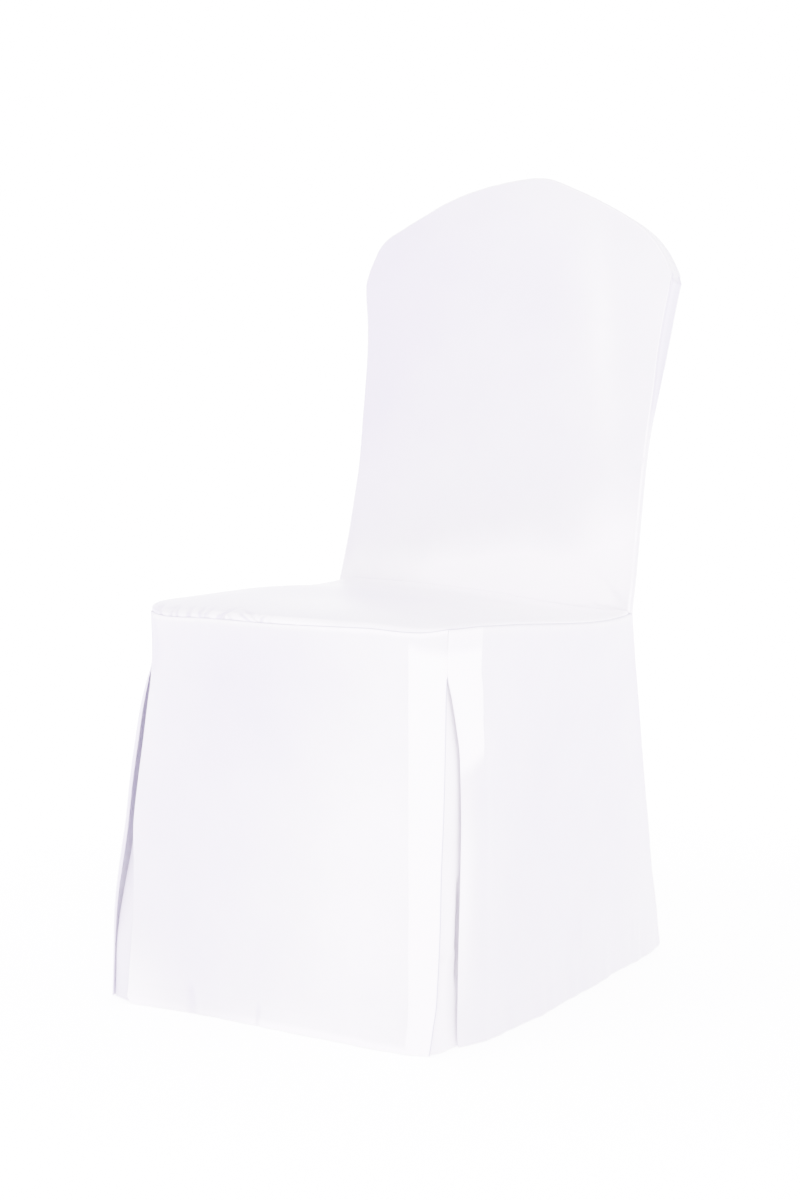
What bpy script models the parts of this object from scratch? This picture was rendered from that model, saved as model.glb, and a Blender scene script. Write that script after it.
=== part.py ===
"""Fitted dining chair cover with a crown-top back, a boxed edge and corner pleats.

The cover is cut and sewn from nine pieces of heavy white satin. It is modelled as it
hangs on a chair, in metres, with +Z up and its front facing -Y. The origin is on the
floor, under the middle of the cover's overall box.
"""

import math
from collections import namedtuple

import bmesh
import bpy
import numpy as np

# Cloth and sewing
CLOTH = 0.0016
HEM_CLOTH = 0.0026
HEM_DEPTH = 0.025
HEM_LIFT = 0.0002
FLAT_SEAM = 0.0008
CORNER_SEAM = 0.0015
TUCKED_SEAM = 0.0028
STEP_ACROSS = 0.027
STEP_UP = 0.033
SKIRT_ROWS = 15

# All places below are laid out about the seat's middle and moved back by this at the end
SEAT_TO_ORIGIN = -0.0514

# Seat, in plan and in height
SEAT_FRONT = -0.2189
SEAT_FRONT_BOW = 0.0131
SEAT_REAR = 0.2189
SEAT_HALF_FRONT = 0.2202
SEAT_HALF_REAR = 0.2145
SEAT_CORNER_RIGHT = 0.052
SEAT_CORNER_LEFT = 0.070
SEAT_CROWN = 0.0165
SEAT_ROLL = 0.0055
SEAT_ROLL_REACH = 0.006
SEAT_CROWN_REACH = 0.110
SEAT_REAR_FADE = 0.70
SEAT_REAR_FADE_FROM = -0.030
SEAT_REAR_FADE_TO = 0.190
REST_PLACE = (0.0, 0.0)
REST_HALF = 0.045
REST_BLEND = 0.050
REST_HEIGHT = 0.4685
REST_FALL = 0.035

Seam = namedtuple("Seam", "at height")
FRONT_SEAM = (
    Seam(-0.200, 0.4540),
    Seam(-0.160, 0.4522),
    Seam(-0.110, 0.4540),
    Seam(0.010, 0.4542),
    Seam(0.115, 0.4555),
    Seam(0.165, 0.4532),
    Seam(0.185, 0.4540),
    Seam(0.206, 0.4575),
)
RIGHT_SEAM = (
    Seam(-0.205, 0.4575),
    Seam(-0.175, 0.4583),
    Seam(-0.125, 0.4551),
    Seam(-0.072, 0.4513),
    Seam(-0.011, 0.4460),
    Seam(0.053, 0.4404),
    Seam(0.099, 0.4372),
    Seam(0.143, 0.4346),
    Seam(0.190, 0.4345),
    Seam(0.219, 0.4367),
)
LEFT_SEAM = (
    Seam(-0.200, 0.4540),
    Seam(-0.175, 0.4550),
    Seam(-0.072, 0.4525),
    Seam(0.060, 0.4470),
    Seam(0.140, 0.4435),
    Seam(0.219, 0.4445),
)
REAR_SEAM = (
    Seam(-0.2145, 0.4445),
    Seam(-0.197, 0.4550),
    Seam(-0.160, 0.4570),
    Seam(-0.100, 0.4563),
    Seam(-0.037, 0.4532),
    Seam(0.034, 0.4488),
    Seam(0.084, 0.4432),
    Seam(0.126, 0.4394),
    Seam(0.170, 0.4375),
    Seam(0.2145, 0.4367),
)

# Back, laid out on its raked front plane
RAKE = math.radians(12.32)
BACK_FOOT_Y = 0.2223
BACK_FOOT_Z = 0.4610
BACK_PAD = 0.0075
BACK_PAD_REACH = 0.055

Outline = namedtuple("Outline", "rise left right gusset")
BACK_SIDE = (
    Outline(-0.025, 0.2145, 0.2145, 0.0085),
    Outline(0.016, 0.2110, 0.2150, 0.0080),
    Outline(0.060, 0.2073, 0.2143, 0.0080),
    Outline(0.100, 0.2052, 0.2136, 0.0080),
    Outline(0.150, 0.2033, 0.2128, 0.0080),
    Outline(0.200, 0.2050, 0.2135, 0.0100),
    Outline(0.250, 0.2070, 0.2155, 0.0170),
    Outline(0.300, 0.2097, 0.2160, 0.0265),
    Outline(0.345, 0.2155, 0.2190, 0.0290),
    Outline(0.382, 0.2227, 0.2228, 0.0290),
    Outline(0.393, 0.2240, 0.2238, 0.0290),
)
BACK_CROWN = (
    Outline(0.393, 0.2240, 0.2238, 0.0290),
    Outline(0.404, 0.2224, 0.2205, 0.0290),
    Outline(0.425, 0.2158, 0.2090, 0.0290),
    Outline(0.442, 0.2085, 0.1955, 0.0280),
    Outline(0.453, 0.1990, 0.1845, 0.0280),
    Outline(0.465, 0.1795, 0.1685, 0.0280),
    Outline(0.484, 0.1450, 0.1355, 0.0280),
    Outline(0.502, 0.1100, 0.0985, 0.0280),
    Outline(0.514, 0.0750, 0.0700, 0.0280),
    Outline(0.5215, 0.0430, 0.0520, 0.0280),
    Outline(0.5265, 0.0100, 0.0360, 0.0280),
)
CROWN_PEAK = 0.5285
CROWN_PEAK_ACROSS = 0.013

# Outside back, from the crown down to the floor
REAR_HEM_HALF = 0.2122
REAR_HEM_Y = 0.3185
REAR_HEM_BOW = 0.010
Swell = namedtuple("Swell", "height depth")
REAR_SWELL = (
    Swell(0.000, 0.004),
    Swell(0.200, 0.022),
    Swell(0.440, 0.048),
    Swell(0.620, 0.044),
    Swell(0.800, 0.020),
    Swell(0.950, 0.004),
)

# Skirt hem, in plan
Place = namedtuple("Place", "x y")
FRONT_HEM = (
    Place(-0.1985, -0.2545),
    Place(-0.1790, -0.2543),
    Place(-0.1110, -0.2522),
    Place(-0.0430, -0.2534),
    Place(0.0260, -0.2580),
    Place(0.0910, -0.2595),
    Place(0.1560, -0.2630),
    Place(0.1860, -0.2623),
    Place(0.2133, -0.2546),
)
RIGHT_HEM = (
    Place(0.2215, -0.2085),
    Place(0.2310, -0.1850),
    Place(0.2368, -0.1640),
    Place(0.2368, -0.1000),
    Place(0.2340, -0.0100),
    Place(0.2295, 0.0800),
    Place(0.2247, 0.1750),
    Place(0.2218, 0.2450),
    Place(0.2122, 0.3185),
)
LEFT_HEM = (
    Place(-0.2318, -0.2390),
    Place(-0.2355, -0.2050),
    Place(-0.2378, -0.1640),
    Place(-0.2368, -0.1000),
    Place(-0.2340, -0.0100),
    Place(-0.2295, 0.0800),
    Place(-0.2247, 0.1750),
    Place(-0.2198, 0.2450),
    Place(-0.2122, 0.3185),
)
SKIRT_LAG = 0.045

# Corner pleats: the edges of each slit, from the floor to the end of the stitching
Slit = namedtuple("Slit", "height front_x front_y side_x side_y")
RIGHT_SLIT = (
    Slit(0.000, 0.2133, -0.2546, 0.2215, -0.2085),
    Slit(0.014, 0.2148, -0.2530, 0.2212, -0.2105),
    Slit(0.030, 0.2163, -0.2514, 0.2203, -0.2095),
    Slit(0.057, 0.2188, -0.2485, 0.2194, -0.2070),
    Slit(0.131, 0.2179, -0.2402, 0.2168, -0.1995),
    Slit(0.198, 0.2151, -0.2327, 0.2143, -0.1922),
    Slit(0.258, 0.2139, -0.2261, 0.2120, -0.1872),
    Slit(0.312, 0.2118, -0.2201, 0.2101, -0.1868),
    Slit(0.352, 0.2100, -0.2157, 0.2087, -0.1935),
    Slit(0.384, 0.2082, -0.2118, 0.2077, -0.2014),
    Slit(0.407, 0.2070, -0.2083, 0.2070, -0.2083),
)
LEFT_SLIT = (
    Slit(0.000, -0.1985, -0.2545, -0.2318, -0.2390),
    Slit(0.040, -0.1985, -0.2500, -0.2325, -0.2357),
    Slit(0.090, -0.1983, -0.2440, -0.2330, -0.2320),
    Slit(0.160, -0.2010, -0.2365, -0.2288, -0.2265),
    Slit(0.208, -0.2045, -0.2310, -0.2235, -0.2229),
    Slit(0.255, -0.2015, -0.2260, -0.2198, -0.2192),
    Slit(0.303, -0.1970, -0.2208, -0.2131, -0.2155),
    Slit(0.350, -0.1925, -0.2160, -0.2050, -0.2115),
    Slit(0.374, -0.1905, -0.2130, -0.1990, -0.2090),
    Slit(0.398, -0.1915, -0.2085, -0.1915, -0.2085),
)

# Underlays behind the slits, set back from the panels that they lie behind
UNDERLAY_TOP_DROP = 0.006
UNDERLAY_REACH = 0.045
UNDERLAY_COLUMNS = 9
UNDERLAY_BEHIND_FRONT = 0.008
UNDERLAY_BEHIND_FRONT_EDGE = 0.007
UNDERLAY_BEHIND_SIDE_EDGE = 0.012
UNDERLAY_BEHIND_SIDE_HEM = 0.0045
UNDERLAY_HEM_REACH = 0.150
UNDERLAY_BEHIND_SIDE = 0.010

# Long soft folds that stand out from a panel: place across at the hem, lean, half width
Fold = namedtuple("Fold", "at lean width depth low high")
FRONT_FOLDS = (
    Fold(0.115, 0.030, 0.050, 0.0045, 0.020, 0.400),
    Fold(-0.060, -0.020, 0.060, 0.0030, 0.060, 0.420),
)
SIDE_FOLDS = (
    Fold(-0.125, 0.010, 0.035, -0.0035, 0.060, 0.380),
    Fold(-0.040, 0.015, 0.040, 0.0030, 0.000, 0.300),
    Fold(0.090, 0.000, 0.034, 0.0032, 0.000, 0.180),
)
REAR_FOLDS = (
    Fold(-0.125, 0.010, 0.036, 0.0055, 0.000, 0.700),
    Fold(-0.030, -0.008, 0.040, -0.0060, 0.000, 0.640),
    Fold(0.060, 0.010, 0.036, 0.0050, 0.000, 0.680),
    Fold(0.140, -0.010, 0.034, -0.0045, 0.000, 0.600),
)
BACK_FOLDS = (
    Fold(0.150, 0.060, 0.030, -0.0030, 0.000, 0.120),
)

SATIN = (0.885, 0.880, 0.915, 1.0)
SATIN_ROUGHNESS = 0.42


def smooth(t):
    """A ramp from 0 to 1 with level ends."""
    t = np.clip(t, 0.0, 1.0)
    return t * t * (3.0 - 2.0 * t)


def lengths(line):
    """Distance along a line of points to each of them."""
    steps = np.linalg.norm(np.diff(line, axis=0), axis=1)
    return np.concatenate([[0.0], np.cumsum(steps)])


def curve_through(rows, fine=10):
    """A smooth line through the rows that doesn't overshoot between them."""
    points = np.array(rows, float)
    runs = np.diff(lengths(points))[:, None]
    secants = np.diff(points, axis=0) / runs
    slopes = np.zeros_like(points)
    mixed = (runs[1:] * secants[:-1] + runs[:-1] * secants[1:]) / (runs[1:] + runs[:-1])
    slopes[1:-1] = np.where(secants[:-1] * secants[1:] > 0, mixed, 0.0)
    slopes[0] = secants[0]
    slopes[-1] = secants[-1]
    t = np.linspace(0.0, 1.0, fine, endpoint=False)[:, None]
    parts = []
    for i, run in enumerate(runs):
        start = (1 + 2 * t) * (1 - t) ** 2 * points[i] + t * (1 - t) ** 2 * run * slopes[i]
        end = t * t * (3 - 2 * t) * points[i + 1] + t * t * (t - 1) * run * slopes[i + 1]
        parts.append(start + end)
    parts.append(points[-1:])
    return np.concatenate(parts)


def along(line, parts):
    """Points at the given fractions of a line's length."""
    at = lengths(line)
    want = np.asarray(parts) * at[-1]
    return np.stack([np.interp(want, at, line[:, i]) for i in range(line.shape[1])], axis=1)


def seam_height(table, at):
    """Height of a seat seam at a distance across or back."""
    line = curve_through(table)
    return np.interp(at, line[:, 0], line[:, 1])


def on_back(x, rise, depth):
    """A point of the raked back, given across it, up its slope and into it."""
    y = BACK_FOOT_Y + rise * math.sin(RAKE) + depth * math.cos(RAKE)
    z = BACK_FOOT_Z + rise * math.cos(RAKE) - depth * math.sin(RAKE)
    return np.stack([x, y, z], axis=-1)


def rise_of(height):
    """Distance up the back's slope to a height."""
    return (height - BACK_FOOT_Z) / math.cos(RAKE)


def corner_arc(side, end):
    """Plan of half a front corner of the seat, from its slit to the front or the side."""
    radius = SEAT_CORNER_RIGHT if side > 0 else SEAT_CORNER_LEFT
    turn = np.radians(np.linspace(45.0, 0.0 if end == "front" else 90.0, 9))
    x = SEAT_HALF_FRONT - radius + radius * np.sin(turn)
    y = SEAT_FRONT + radius - radius * np.cos(turn)
    return np.stack([x * side, y], axis=1)


def front_seam_line():
    """The seam over the front skirt, from the left slit to the right one."""
    left = corner_arc(-1, "front")
    right = corner_arc(1, "front")[::-1]
    x = np.linspace(left[-1, 0], right[0, 0], 41)
    middle = (x[0] + x[-1]) / 2
    reach = (x[-1] - x[0]) / 2
    y = SEAT_FRONT - SEAT_FRONT_BOW * (1 - ((x - middle) / reach) ** 2)
    plan = np.concatenate([left, np.stack([x, y], axis=1)[1:-1], right])
    return np.column_stack([plan, seam_height(FRONT_SEAM, plan[:, 0])])


def side_seam_line(side):
    """The seam over a side skirt, from the slit to the seat's rear corner."""
    arc = corner_arc(side, "side")
    rear = (SEAT_HALF_REAR * side, SEAT_REAR)
    run = along(np.array([arc[-1], rear]), np.linspace(0.0, 1.0, 30)[1:])
    plan = np.concatenate([arc, run])
    table = RIGHT_SEAM if side > 0 else LEFT_SEAM
    return np.column_stack([plan, seam_height(table, plan[:, 1])])


def rear_seam_line():
    """The seam between the seat and the inside back, from left to right."""
    x = np.linspace(-SEAT_HALF_REAR, SEAT_HALF_REAR, 61)
    return on_back(x, rise_of(seam_height(REAR_SEAM, x)), np.zeros_like(x))


def back_side_line(side):
    """One side of the back as across, rise and gusset depth, from the seat to the ear."""
    foot = REAR_SEAM[-1] if side > 0 else REAR_SEAM[0]
    rows = [(row.right if side > 0 else row.left, row.rise, row.gusset) for row in BACK_SIDE]
    rows[0] = (abs(foot.at), rise_of(foot.height), BACK_SIDE[0].gusset)
    return curve_through(rows) * (side, 1, 1)


def back_crown_line():
    """The back's top as across, rise and gusset depth, from the left ear to the right one."""
    left = [(-row.left, row.rise, row.gusset) for row in BACK_CROWN]
    right = [(row.right, row.rise, row.gusset) for row in BACK_CROWN[::-1]]
    peak = [(CROWN_PEAK_ACROSS, CROWN_PEAK, BACK_CROWN[-1].gusset)]
    return curve_through(left + peak + right, fine=5)


def slit_line(side, panel):
    """The edge of a skirt panel at a front corner, from the floor to the seat seam."""
    rows = RIGHT_SLIT if side > 0 else LEFT_SLIT
    if panel == "front":
        line = [(row.front_x, row.front_y, row.height) for row in rows]
    else:
        line = [(row.side_x, row.side_y, row.height) for row in rows]
    line[0] = (line[0][0], line[0][1], HEM_LIFT)
    line.append(tuple(side_seam_line(side)[0]))
    return curve_through(line)


def rear_corner_line(side):
    """The seam between a side skirt and the outside back, from the floor to the gusset."""
    foot = back_side_line(side)[0]
    top = on_back(foot[0], foot[1], foot[2])
    hem = np.array([REAR_HEM_HALF * side, REAR_HEM_Y, HEM_LIFT])
    v = np.linspace(0.0, 1.0, 24)[:, None]
    line = hem + v * (top - hem)
    line[:, :2] += SKIRT_LAG * np.sin(math.pi * v) * (top - hem)[:2]
    return line


def spread(length, step):
    """Fractions of a length, about a mesh step apart."""
    return np.linspace(0.0, 1.0, max(3, round(length / step) + 1))


def spread_to_edges(length, step):
    """The same, with more of them near both ends, where the cloth rolls over."""
    inner = spread(length, step)
    first = inner[1]
    extra = np.array([0.14, 0.45]) * first
    return np.sort(np.concatenate([inner, extra, 1.0 - extra]))


def spanned(bottom, top, left, right, u, v):
    """A grid of points between four border lines, its rows running from bottom to top."""
    u = u[None, :, None]
    v = v[:, None, None]
    across = (1 - v) * bottom[None] + v * top[None]
    upward = (1 - u) * left[:, None] + u * right[:, None]
    lower = (1 - u) * bottom[0] + u * bottom[-1]
    upper = (1 - u) * top[0] + u * top[-1]
    return across + upward - (1 - v) * lower - v * upper


def distance_to(points, line):
    """Shortest distance from each point of a grid to a line."""
    start = line[:-1]
    step = np.diff(line, axis=0)
    size = np.maximum((step**2).sum(axis=1), 1e-12)
    away = points[..., None, :] - start
    t = np.clip((away * step).sum(axis=-1) / size, 0.0, 1.0)
    return np.linalg.norm(away - t[..., None] * step, axis=-1).min(axis=-1)


def pull_in(grid, bottom=0.0, top=0.0, left=0.0, right=0.0):
    """Draws a grid's borders in from its seams, so that neighbouring pieces stay apart."""
    def moved(border, inner, amount):
        step = inner - border
        size = np.maximum(np.linalg.norm(step, axis=-1, keepdims=True), 1e-9)
        return border + step * np.minimum(np.reshape(amount, (-1, 1)) / size, 0.45)

    grid = grid.copy()
    grid[0] = moved(grid[0], grid[1], bottom)
    grid[-1] = moved(grid[-1], grid[-2], top)
    grid[:, 0] = moved(grid[:, 0], grid[:, 1], left)
    grid[:, -1] = moved(grid[:, -1], grid[:, -2], right)
    return grid


def fold_relief(folds, across, height):
    """How far a panel's long folds lift it off its smooth form."""
    relief = np.zeros_like(height)
    for fold in folds:
        centre = fold.at + fold.lean * height / max(fold.high, 1e-6)
        ridge = np.exp(-0.5 * ((across - centre) / fold.width) ** 2)
        middle = (fold.low + fold.high) / 2
        half = (fold.high - fold.low) / 2
        if fold.low > 0:
            fade = smooth(1.35 * (1.0 - np.abs(height - middle) / half))
        else:
            fade = smooth(1.35 * (1.0 - height / fold.high))
        relief += fold.depth * ridge * fade
    return relief


def edge_fade(u, v, margin=0.12):
    """1 inside a panel and 0 at its sides and top, where sewing holds it still."""
    sides = smooth(np.minimum(u, 1.0 - u) / margin)
    return sides[None, :] * smooth((1.0 - v) / margin)[:, None]


def seat_grid():
    """The seat panel: crowned, and rolled down into its seam all the way round."""
    u = spread_to_edges(2 * SEAT_HALF_FRONT, STEP_ACROSS)
    v = spread_to_edges(SEAT_REAR - SEAT_FRONT, STEP_ACROSS)
    front = front_seam_line()
    rear = rear_seam_line()
    left = side_seam_line(-1)
    right = side_seam_line(1)
    left[-1] = rear[0]
    right[-1] = rear[-1]
    border = np.concatenate([front, right, rear[::-1], left[::-1]])[:, :2]
    grid = spanned(along(front, u), along(rear, u), along(left, v), along(right, v), u, v)
    inward = distance_to(grid[..., :2], border)
    roll = SEAT_ROLL * (1.0 - np.exp(-inward / SEAT_ROLL_REACH))
    crown = 1.0 - (1.0 - np.clip(inward / SEAT_CROWN_REACH, 0.0, 1.0)) ** 2.4
    toward_rear = grid[..., 1] - SEAT_REAR_FADE_FROM
    fade = 1.0 - SEAT_REAR_FADE * smooth(toward_rear / (SEAT_REAR_FADE_TO - SEAT_REAR_FADE_FROM))
    height = grid[..., 2] + roll * (0.5 + 0.5 * fade) + (SEAT_CROWN - SEAT_ROLL) * crown * fade
    flat = REST_HEIGHT - REST_FALL * (grid[..., 1] - REST_PLACE[1])
    off = np.abs(grid[..., :2] - REST_PLACE).max(axis=-1)
    grid[..., 2] = flat + (height - flat) * smooth((off - REST_HALF) / REST_BLEND)
    return pull_in(grid, FLAT_SEAM, TUCKED_SEAM, FLAT_SEAM, FLAT_SEAM)


def inside_back_grid():
    """The inside back panel, padded a little where the chair's upholstery fills it."""
    crown = back_crown_line()
    left = back_side_line(-1)
    right = back_side_line(1)
    u = spread_to_edges(2 * SEAT_HALF_FRONT, STEP_ACROSS)
    v = spread_to_edges(CROWN_PEAK, STEP_UP)
    foot_x = np.linspace(left[0, 0], right[0, 0], 61)
    foot = np.column_stack([foot_x, rise_of(seam_height(REAR_SEAM, foot_x))])
    border = np.concatenate([foot, right[:, :2], crown[::-1, :2], left[::-1, :2]])
    plan = spanned(
        along(foot, u),
        along(crown[:, :2], u),
        along(left[:, :2], v),
        along(right[:, :2], v),
        u,
        v,
    )
    inward = distance_to(plan, border)
    pad = 1.0 - (1.0 - np.clip(inward / BACK_PAD_REACH, 0.0, 1.0)) ** 2.2
    relief = BACK_PAD * pad + fold_relief(BACK_FOLDS, plan[..., 0], plan[..., 1]) * pad
    grid = on_back(plan[..., 0], plan[..., 1], -relief)
    return pull_in(grid, TUCKED_SEAM, CORNER_SEAM, CORNER_SEAM, CORNER_SEAM)


def back_edge_line():
    """The back's whole outline over the crown, from the left foot to the right one."""
    left = back_side_line(-1)
    crown = back_crown_line()
    right = back_side_line(1)[::-1]
    return np.concatenate([left[:-1], crown, right[1:]])


def gusset_grid():
    """The boxing strip over the back's edge: full width at the ears, narrow at the seat."""
    line = back_edge_line()
    u = spread(lengths(line[:, :2])[-1], STEP_UP * 0.8)
    edge = along(line, u)
    front = on_back(edge[:, 0], edge[:, 1], 0.0 * edge[:, 2])
    rear = on_back(edge[:, 0], edge[:, 1], edge[:, 2])
    v = np.linspace(0.0, 1.0, 3)[:, None, None]
    grid = front[None] + v * (rear - front)[None]
    return pull_in(grid, CORNER_SEAM, CORNER_SEAM, CORNER_SEAM, CORNER_SEAM)


def rear_panel_grid():
    """The outside back: from the crown to the floor in one piece, hanging a little full."""
    lower_left = rear_corner_line(1)
    lower_right = rear_corner_line(-1)
    upper_left = back_side_line(1)
    upper_right = back_side_line(-1)
    left = np.concatenate([lower_left[:-1], on_back(*upper_left.T)])
    right = np.concatenate([lower_right[:-1], on_back(*upper_right.T)])
    top = on_back(*back_crown_line()[::-1].T)
    hem_x = np.linspace(REAR_HEM_HALF, -REAR_HEM_HALF, 31)
    bow = REAR_HEM_BOW * (1.0 - (hem_x / REAR_HEM_HALF) ** 2)
    hem = np.stack([hem_x, REAR_HEM_Y + bow, np.full_like(hem_x, HEM_LIFT)], axis=1)
    u = spread(2 * REAR_HEM_HALF, STEP_ACROSS * 1.15)
    v = spread(lengths(left)[-1], STEP_UP * 1.1)
    grid = spanned(along(hem, u), along(top, u), along(left, v), along(right, v), u, v)
    swell_line = curve_through(REAR_SWELL)
    swell = np.interp(grid[..., 2], swell_line[:, 0], swell_line[:, 1])
    full = 1.0 - (2.0 * u[None, :] - 1.0) ** 2
    relief = fold_relief(REAR_FOLDS, grid[..., 0], grid[..., 2]) * edge_fade(u, v)
    grid[..., 1] += swell * full + relief
    return pull_in(grid, 0.0, CORNER_SEAM, CORNER_SEAM, CORNER_SEAM)


def skirt_grid(seam, hem, left, right, folds, outward, left_seam, right_seam):
    """A skirt panel between its seat seam, its hem and its two upright edges."""
    hem = curve_through([(place.x, place.y, HEM_LIFT) for place in hem])
    u = spread_to_edges(lengths(hem)[-1], STEP_ACROSS)
    v = np.linspace(0.0, 1.0, SKIRT_ROWS)
    grid = spanned(along(hem, u), along(seam, u), along(left, v), along(right, v), u, v)
    fade = edge_fade(u, v)
    reach = along(seam, u)[None, :, :2] - along(hem, u)[None, :, :2]
    lag = SKIRT_LAG * np.sin(math.pi * v)[:, None] * smooth(np.minimum(u, 1 - u) / 0.12)[None, :]
    grid[..., :2] += lag[..., None] * reach
    across = grid[..., 0] if outward[1] else grid[..., 1]
    relief = fold_relief(folds, across, grid[..., 2]) * fade
    grid[..., :2] += relief[..., None] * np.array(outward)
    return pull_in(grid, 0.0, FLAT_SEAM, left_seam, right_seam)


def front_skirt_grid():
    """The front skirt, between the two corner slits."""
    return skirt_grid(
        front_seam_line(),
        FRONT_HEM,
        slit_line(-1, "front"),
        slit_line(1, "front"),
        FRONT_FOLDS,
        (0.0, -1.0),
        FLAT_SEAM,
        FLAT_SEAM,
    )


def side_skirt_grid(side):
    """A side skirt, which runs back under the foot of the gusset to the outside back."""
    foot = back_side_line(side)[0]
    rear_foot = on_back(foot[0], foot[1], foot[2])
    seam = np.concatenate([side_seam_line(side), [rear_foot]])
    slit = slit_line(side, "side")
    rear = rear_corner_line(side)
    if side > 0:
        edges = (slit, rear, SIDE_FOLDS, (1.0, 0.0), FLAT_SEAM, CORNER_SEAM)
        return skirt_grid(seam, RIGHT_HEM, *edges)
    edges = (rear, slit, SIDE_FOLDS, (-1.0, 0.0), CORNER_SEAM, FLAT_SEAM)
    return skirt_grid(seam[::-1], LEFT_HEM[::-1], *edges)


def underlay_grid(side):
    """The loose panel behind a corner slit, which follows the skirt panels on both sides."""
    inward = np.array([-side, 1.0, 0.0]) * math.sqrt(0.5)
    back = np.array([0.0, 1.0, 0.0])
    across = np.array([-side, 0.0, 0.0])
    rows = []
    for front, flank in zip(front_skirt_grid(), side_skirt_grid(side)):
        front = front[::-1] if side > 0 else front
        flank = flank if side > 0 else flank[::-1]
        raised = smooth(flank[0, 2] / UNDERLAY_HEM_REACH)
        behind_edge = UNDERLAY_BEHIND_SIDE_HEM
        behind_edge += (UNDERLAY_BEHIND_SIDE_EDGE - UNDERLAY_BEHIND_SIDE_HEM) * raised
        front_part = UNDERLAY_REACH / lengths(front)[-1]
        flank_part = UNDERLAY_REACH / lengths(flank)[-1]
        line = [
            along(front, [front_part])[0] + UNDERLAY_BEHIND_FRONT * back,
            along(front, [front_part / 2])[0] + UNDERLAY_BEHIND_FRONT * back,
            front[0] + UNDERLAY_BEHIND_FRONT_EDGE * inward,
            flank[0] + behind_edge * inward,
            along(flank, [flank_part / 2])[0] + UNDERLAY_BEHIND_SIDE * across,
            along(flank, [flank_part])[0] + UNDERLAY_BEHIND_SIDE * across,
        ]
        rows.append(along(np.array(line), np.linspace(0.0, 1.0, UNDERLAY_COLUMNS)))
    grid = np.array(rows)
    grid[..., 2] -= UNDERLAY_TOP_DROP * grid[..., 2] / grid[..., 2].max()
    return grid if side > 0 else grid[:, ::-1]


def satin_material(name):
    material = bpy.data.materials.new(name)
    material.use_nodes = True
    shader = material.node_tree.nodes["Principled BSDF"]
    shader.inputs["Base Color"].default_value = SATIN
    shader.inputs["Roughness"].default_value = SATIN_ROUGHNESS
    shader.inputs["Metallic"].default_value = 0.0
    return material


def cloth_panel(name, grid, hemmed=False):
    """One cut piece: a bent sheet with the cloth's thickness, doubled along its hem."""
    rows, columns = grid.shape[:2]
    mesh = bpy.data.meshes.new(name)
    form = bmesh.new()
    corners = [form.verts.new(point) for point in grid.reshape(-1, 3)]
    for row in range(rows - 1):
        for column in range(columns - 1):
            first = row * columns + column
            around = (first, first + 1, first + columns + 1, first + columns)
            form.faces.new([corners[index] for index in around])
    form.to_mesh(mesh)
    form.free()
    mesh.shade_smooth()
    panel = bpy.data.objects.new(name, mesh)
    bpy.context.scene.collection.objects.link(panel)
    panel.location.y = SEAT_TO_ORIGIN
    mesh.materials.append(satin_material(name + "_satin"))
    wall = panel.modifiers.new("cloth", "SOLIDIFY")
    wall.offset = 0.0
    wall.use_even_offset = True
    wall.use_quality_normals = True
    wall.thickness = CLOTH
    if hemmed:
        group = panel.vertex_groups.new(name="hem")
        low = [v.index for v in mesh.vertices if v.co.z < HEM_DEPTH]
        group.add(low, 1.0, "REPLACE")
        wall.thickness = HEM_CLOTH
        wall.vertex_group = "hem"
        wall.thickness_vertex_group = CLOTH / HEM_CLOTH
    return panel


def main():
    for item in list(bpy.data.objects):
        bpy.data.objects.remove(item, do_unlink=True)
    cloth_panel("seat_panel", seat_grid())
    cloth_panel("inside_back_panel", inside_back_grid())
    cloth_panel("back_gusset", gusset_grid())
    cloth_panel("outside_back_panel", rear_panel_grid(), hemmed=True)
    cloth_panel("front_skirt", front_skirt_grid(), hemmed=True)
    cloth_panel("right_skirt", side_skirt_grid(1), hemmed=True)
    cloth_panel("left_skirt", side_skirt_grid(-1), hemmed=True)
    cloth_panel("right_pleat_underlay", underlay_grid(1), hemmed=True)
    cloth_panel("left_pleat_underlay", underlay_grid(-1), hemmed=True)


main()
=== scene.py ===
import math
from collections import namedtuple

import bpy
import numpy as np
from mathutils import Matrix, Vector


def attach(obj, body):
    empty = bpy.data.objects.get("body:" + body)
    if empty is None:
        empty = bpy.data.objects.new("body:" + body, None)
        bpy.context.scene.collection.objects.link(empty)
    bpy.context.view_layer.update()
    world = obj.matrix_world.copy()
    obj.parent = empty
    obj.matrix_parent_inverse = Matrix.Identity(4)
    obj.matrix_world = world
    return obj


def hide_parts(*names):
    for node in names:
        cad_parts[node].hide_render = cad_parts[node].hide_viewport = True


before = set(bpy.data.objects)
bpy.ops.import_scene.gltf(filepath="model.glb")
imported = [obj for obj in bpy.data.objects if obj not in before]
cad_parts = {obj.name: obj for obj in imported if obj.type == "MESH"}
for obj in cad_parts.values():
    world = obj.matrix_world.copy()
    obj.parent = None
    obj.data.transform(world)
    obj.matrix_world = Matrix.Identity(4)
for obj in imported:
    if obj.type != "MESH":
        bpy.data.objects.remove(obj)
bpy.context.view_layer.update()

# A white satin chair cover as it hangs: nine sewn pieces of cloth, in metres, with +Z up
# and the front facing -Y. The pieces share the frame's outlines and add the seams' rolls
# and puckers, the hems, the facings beside the corner slits and the weave.

# Cloth
CLOTH = 0.0011
SEAM_GAP = 0.00018
HEM_DEPTH = 0.025
HEM_LIFT = 0.0007
HEM_ROUND = 0.0075
HEM_ROUND_HEIGHT = 2.6 * HEM_ROUND

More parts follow.
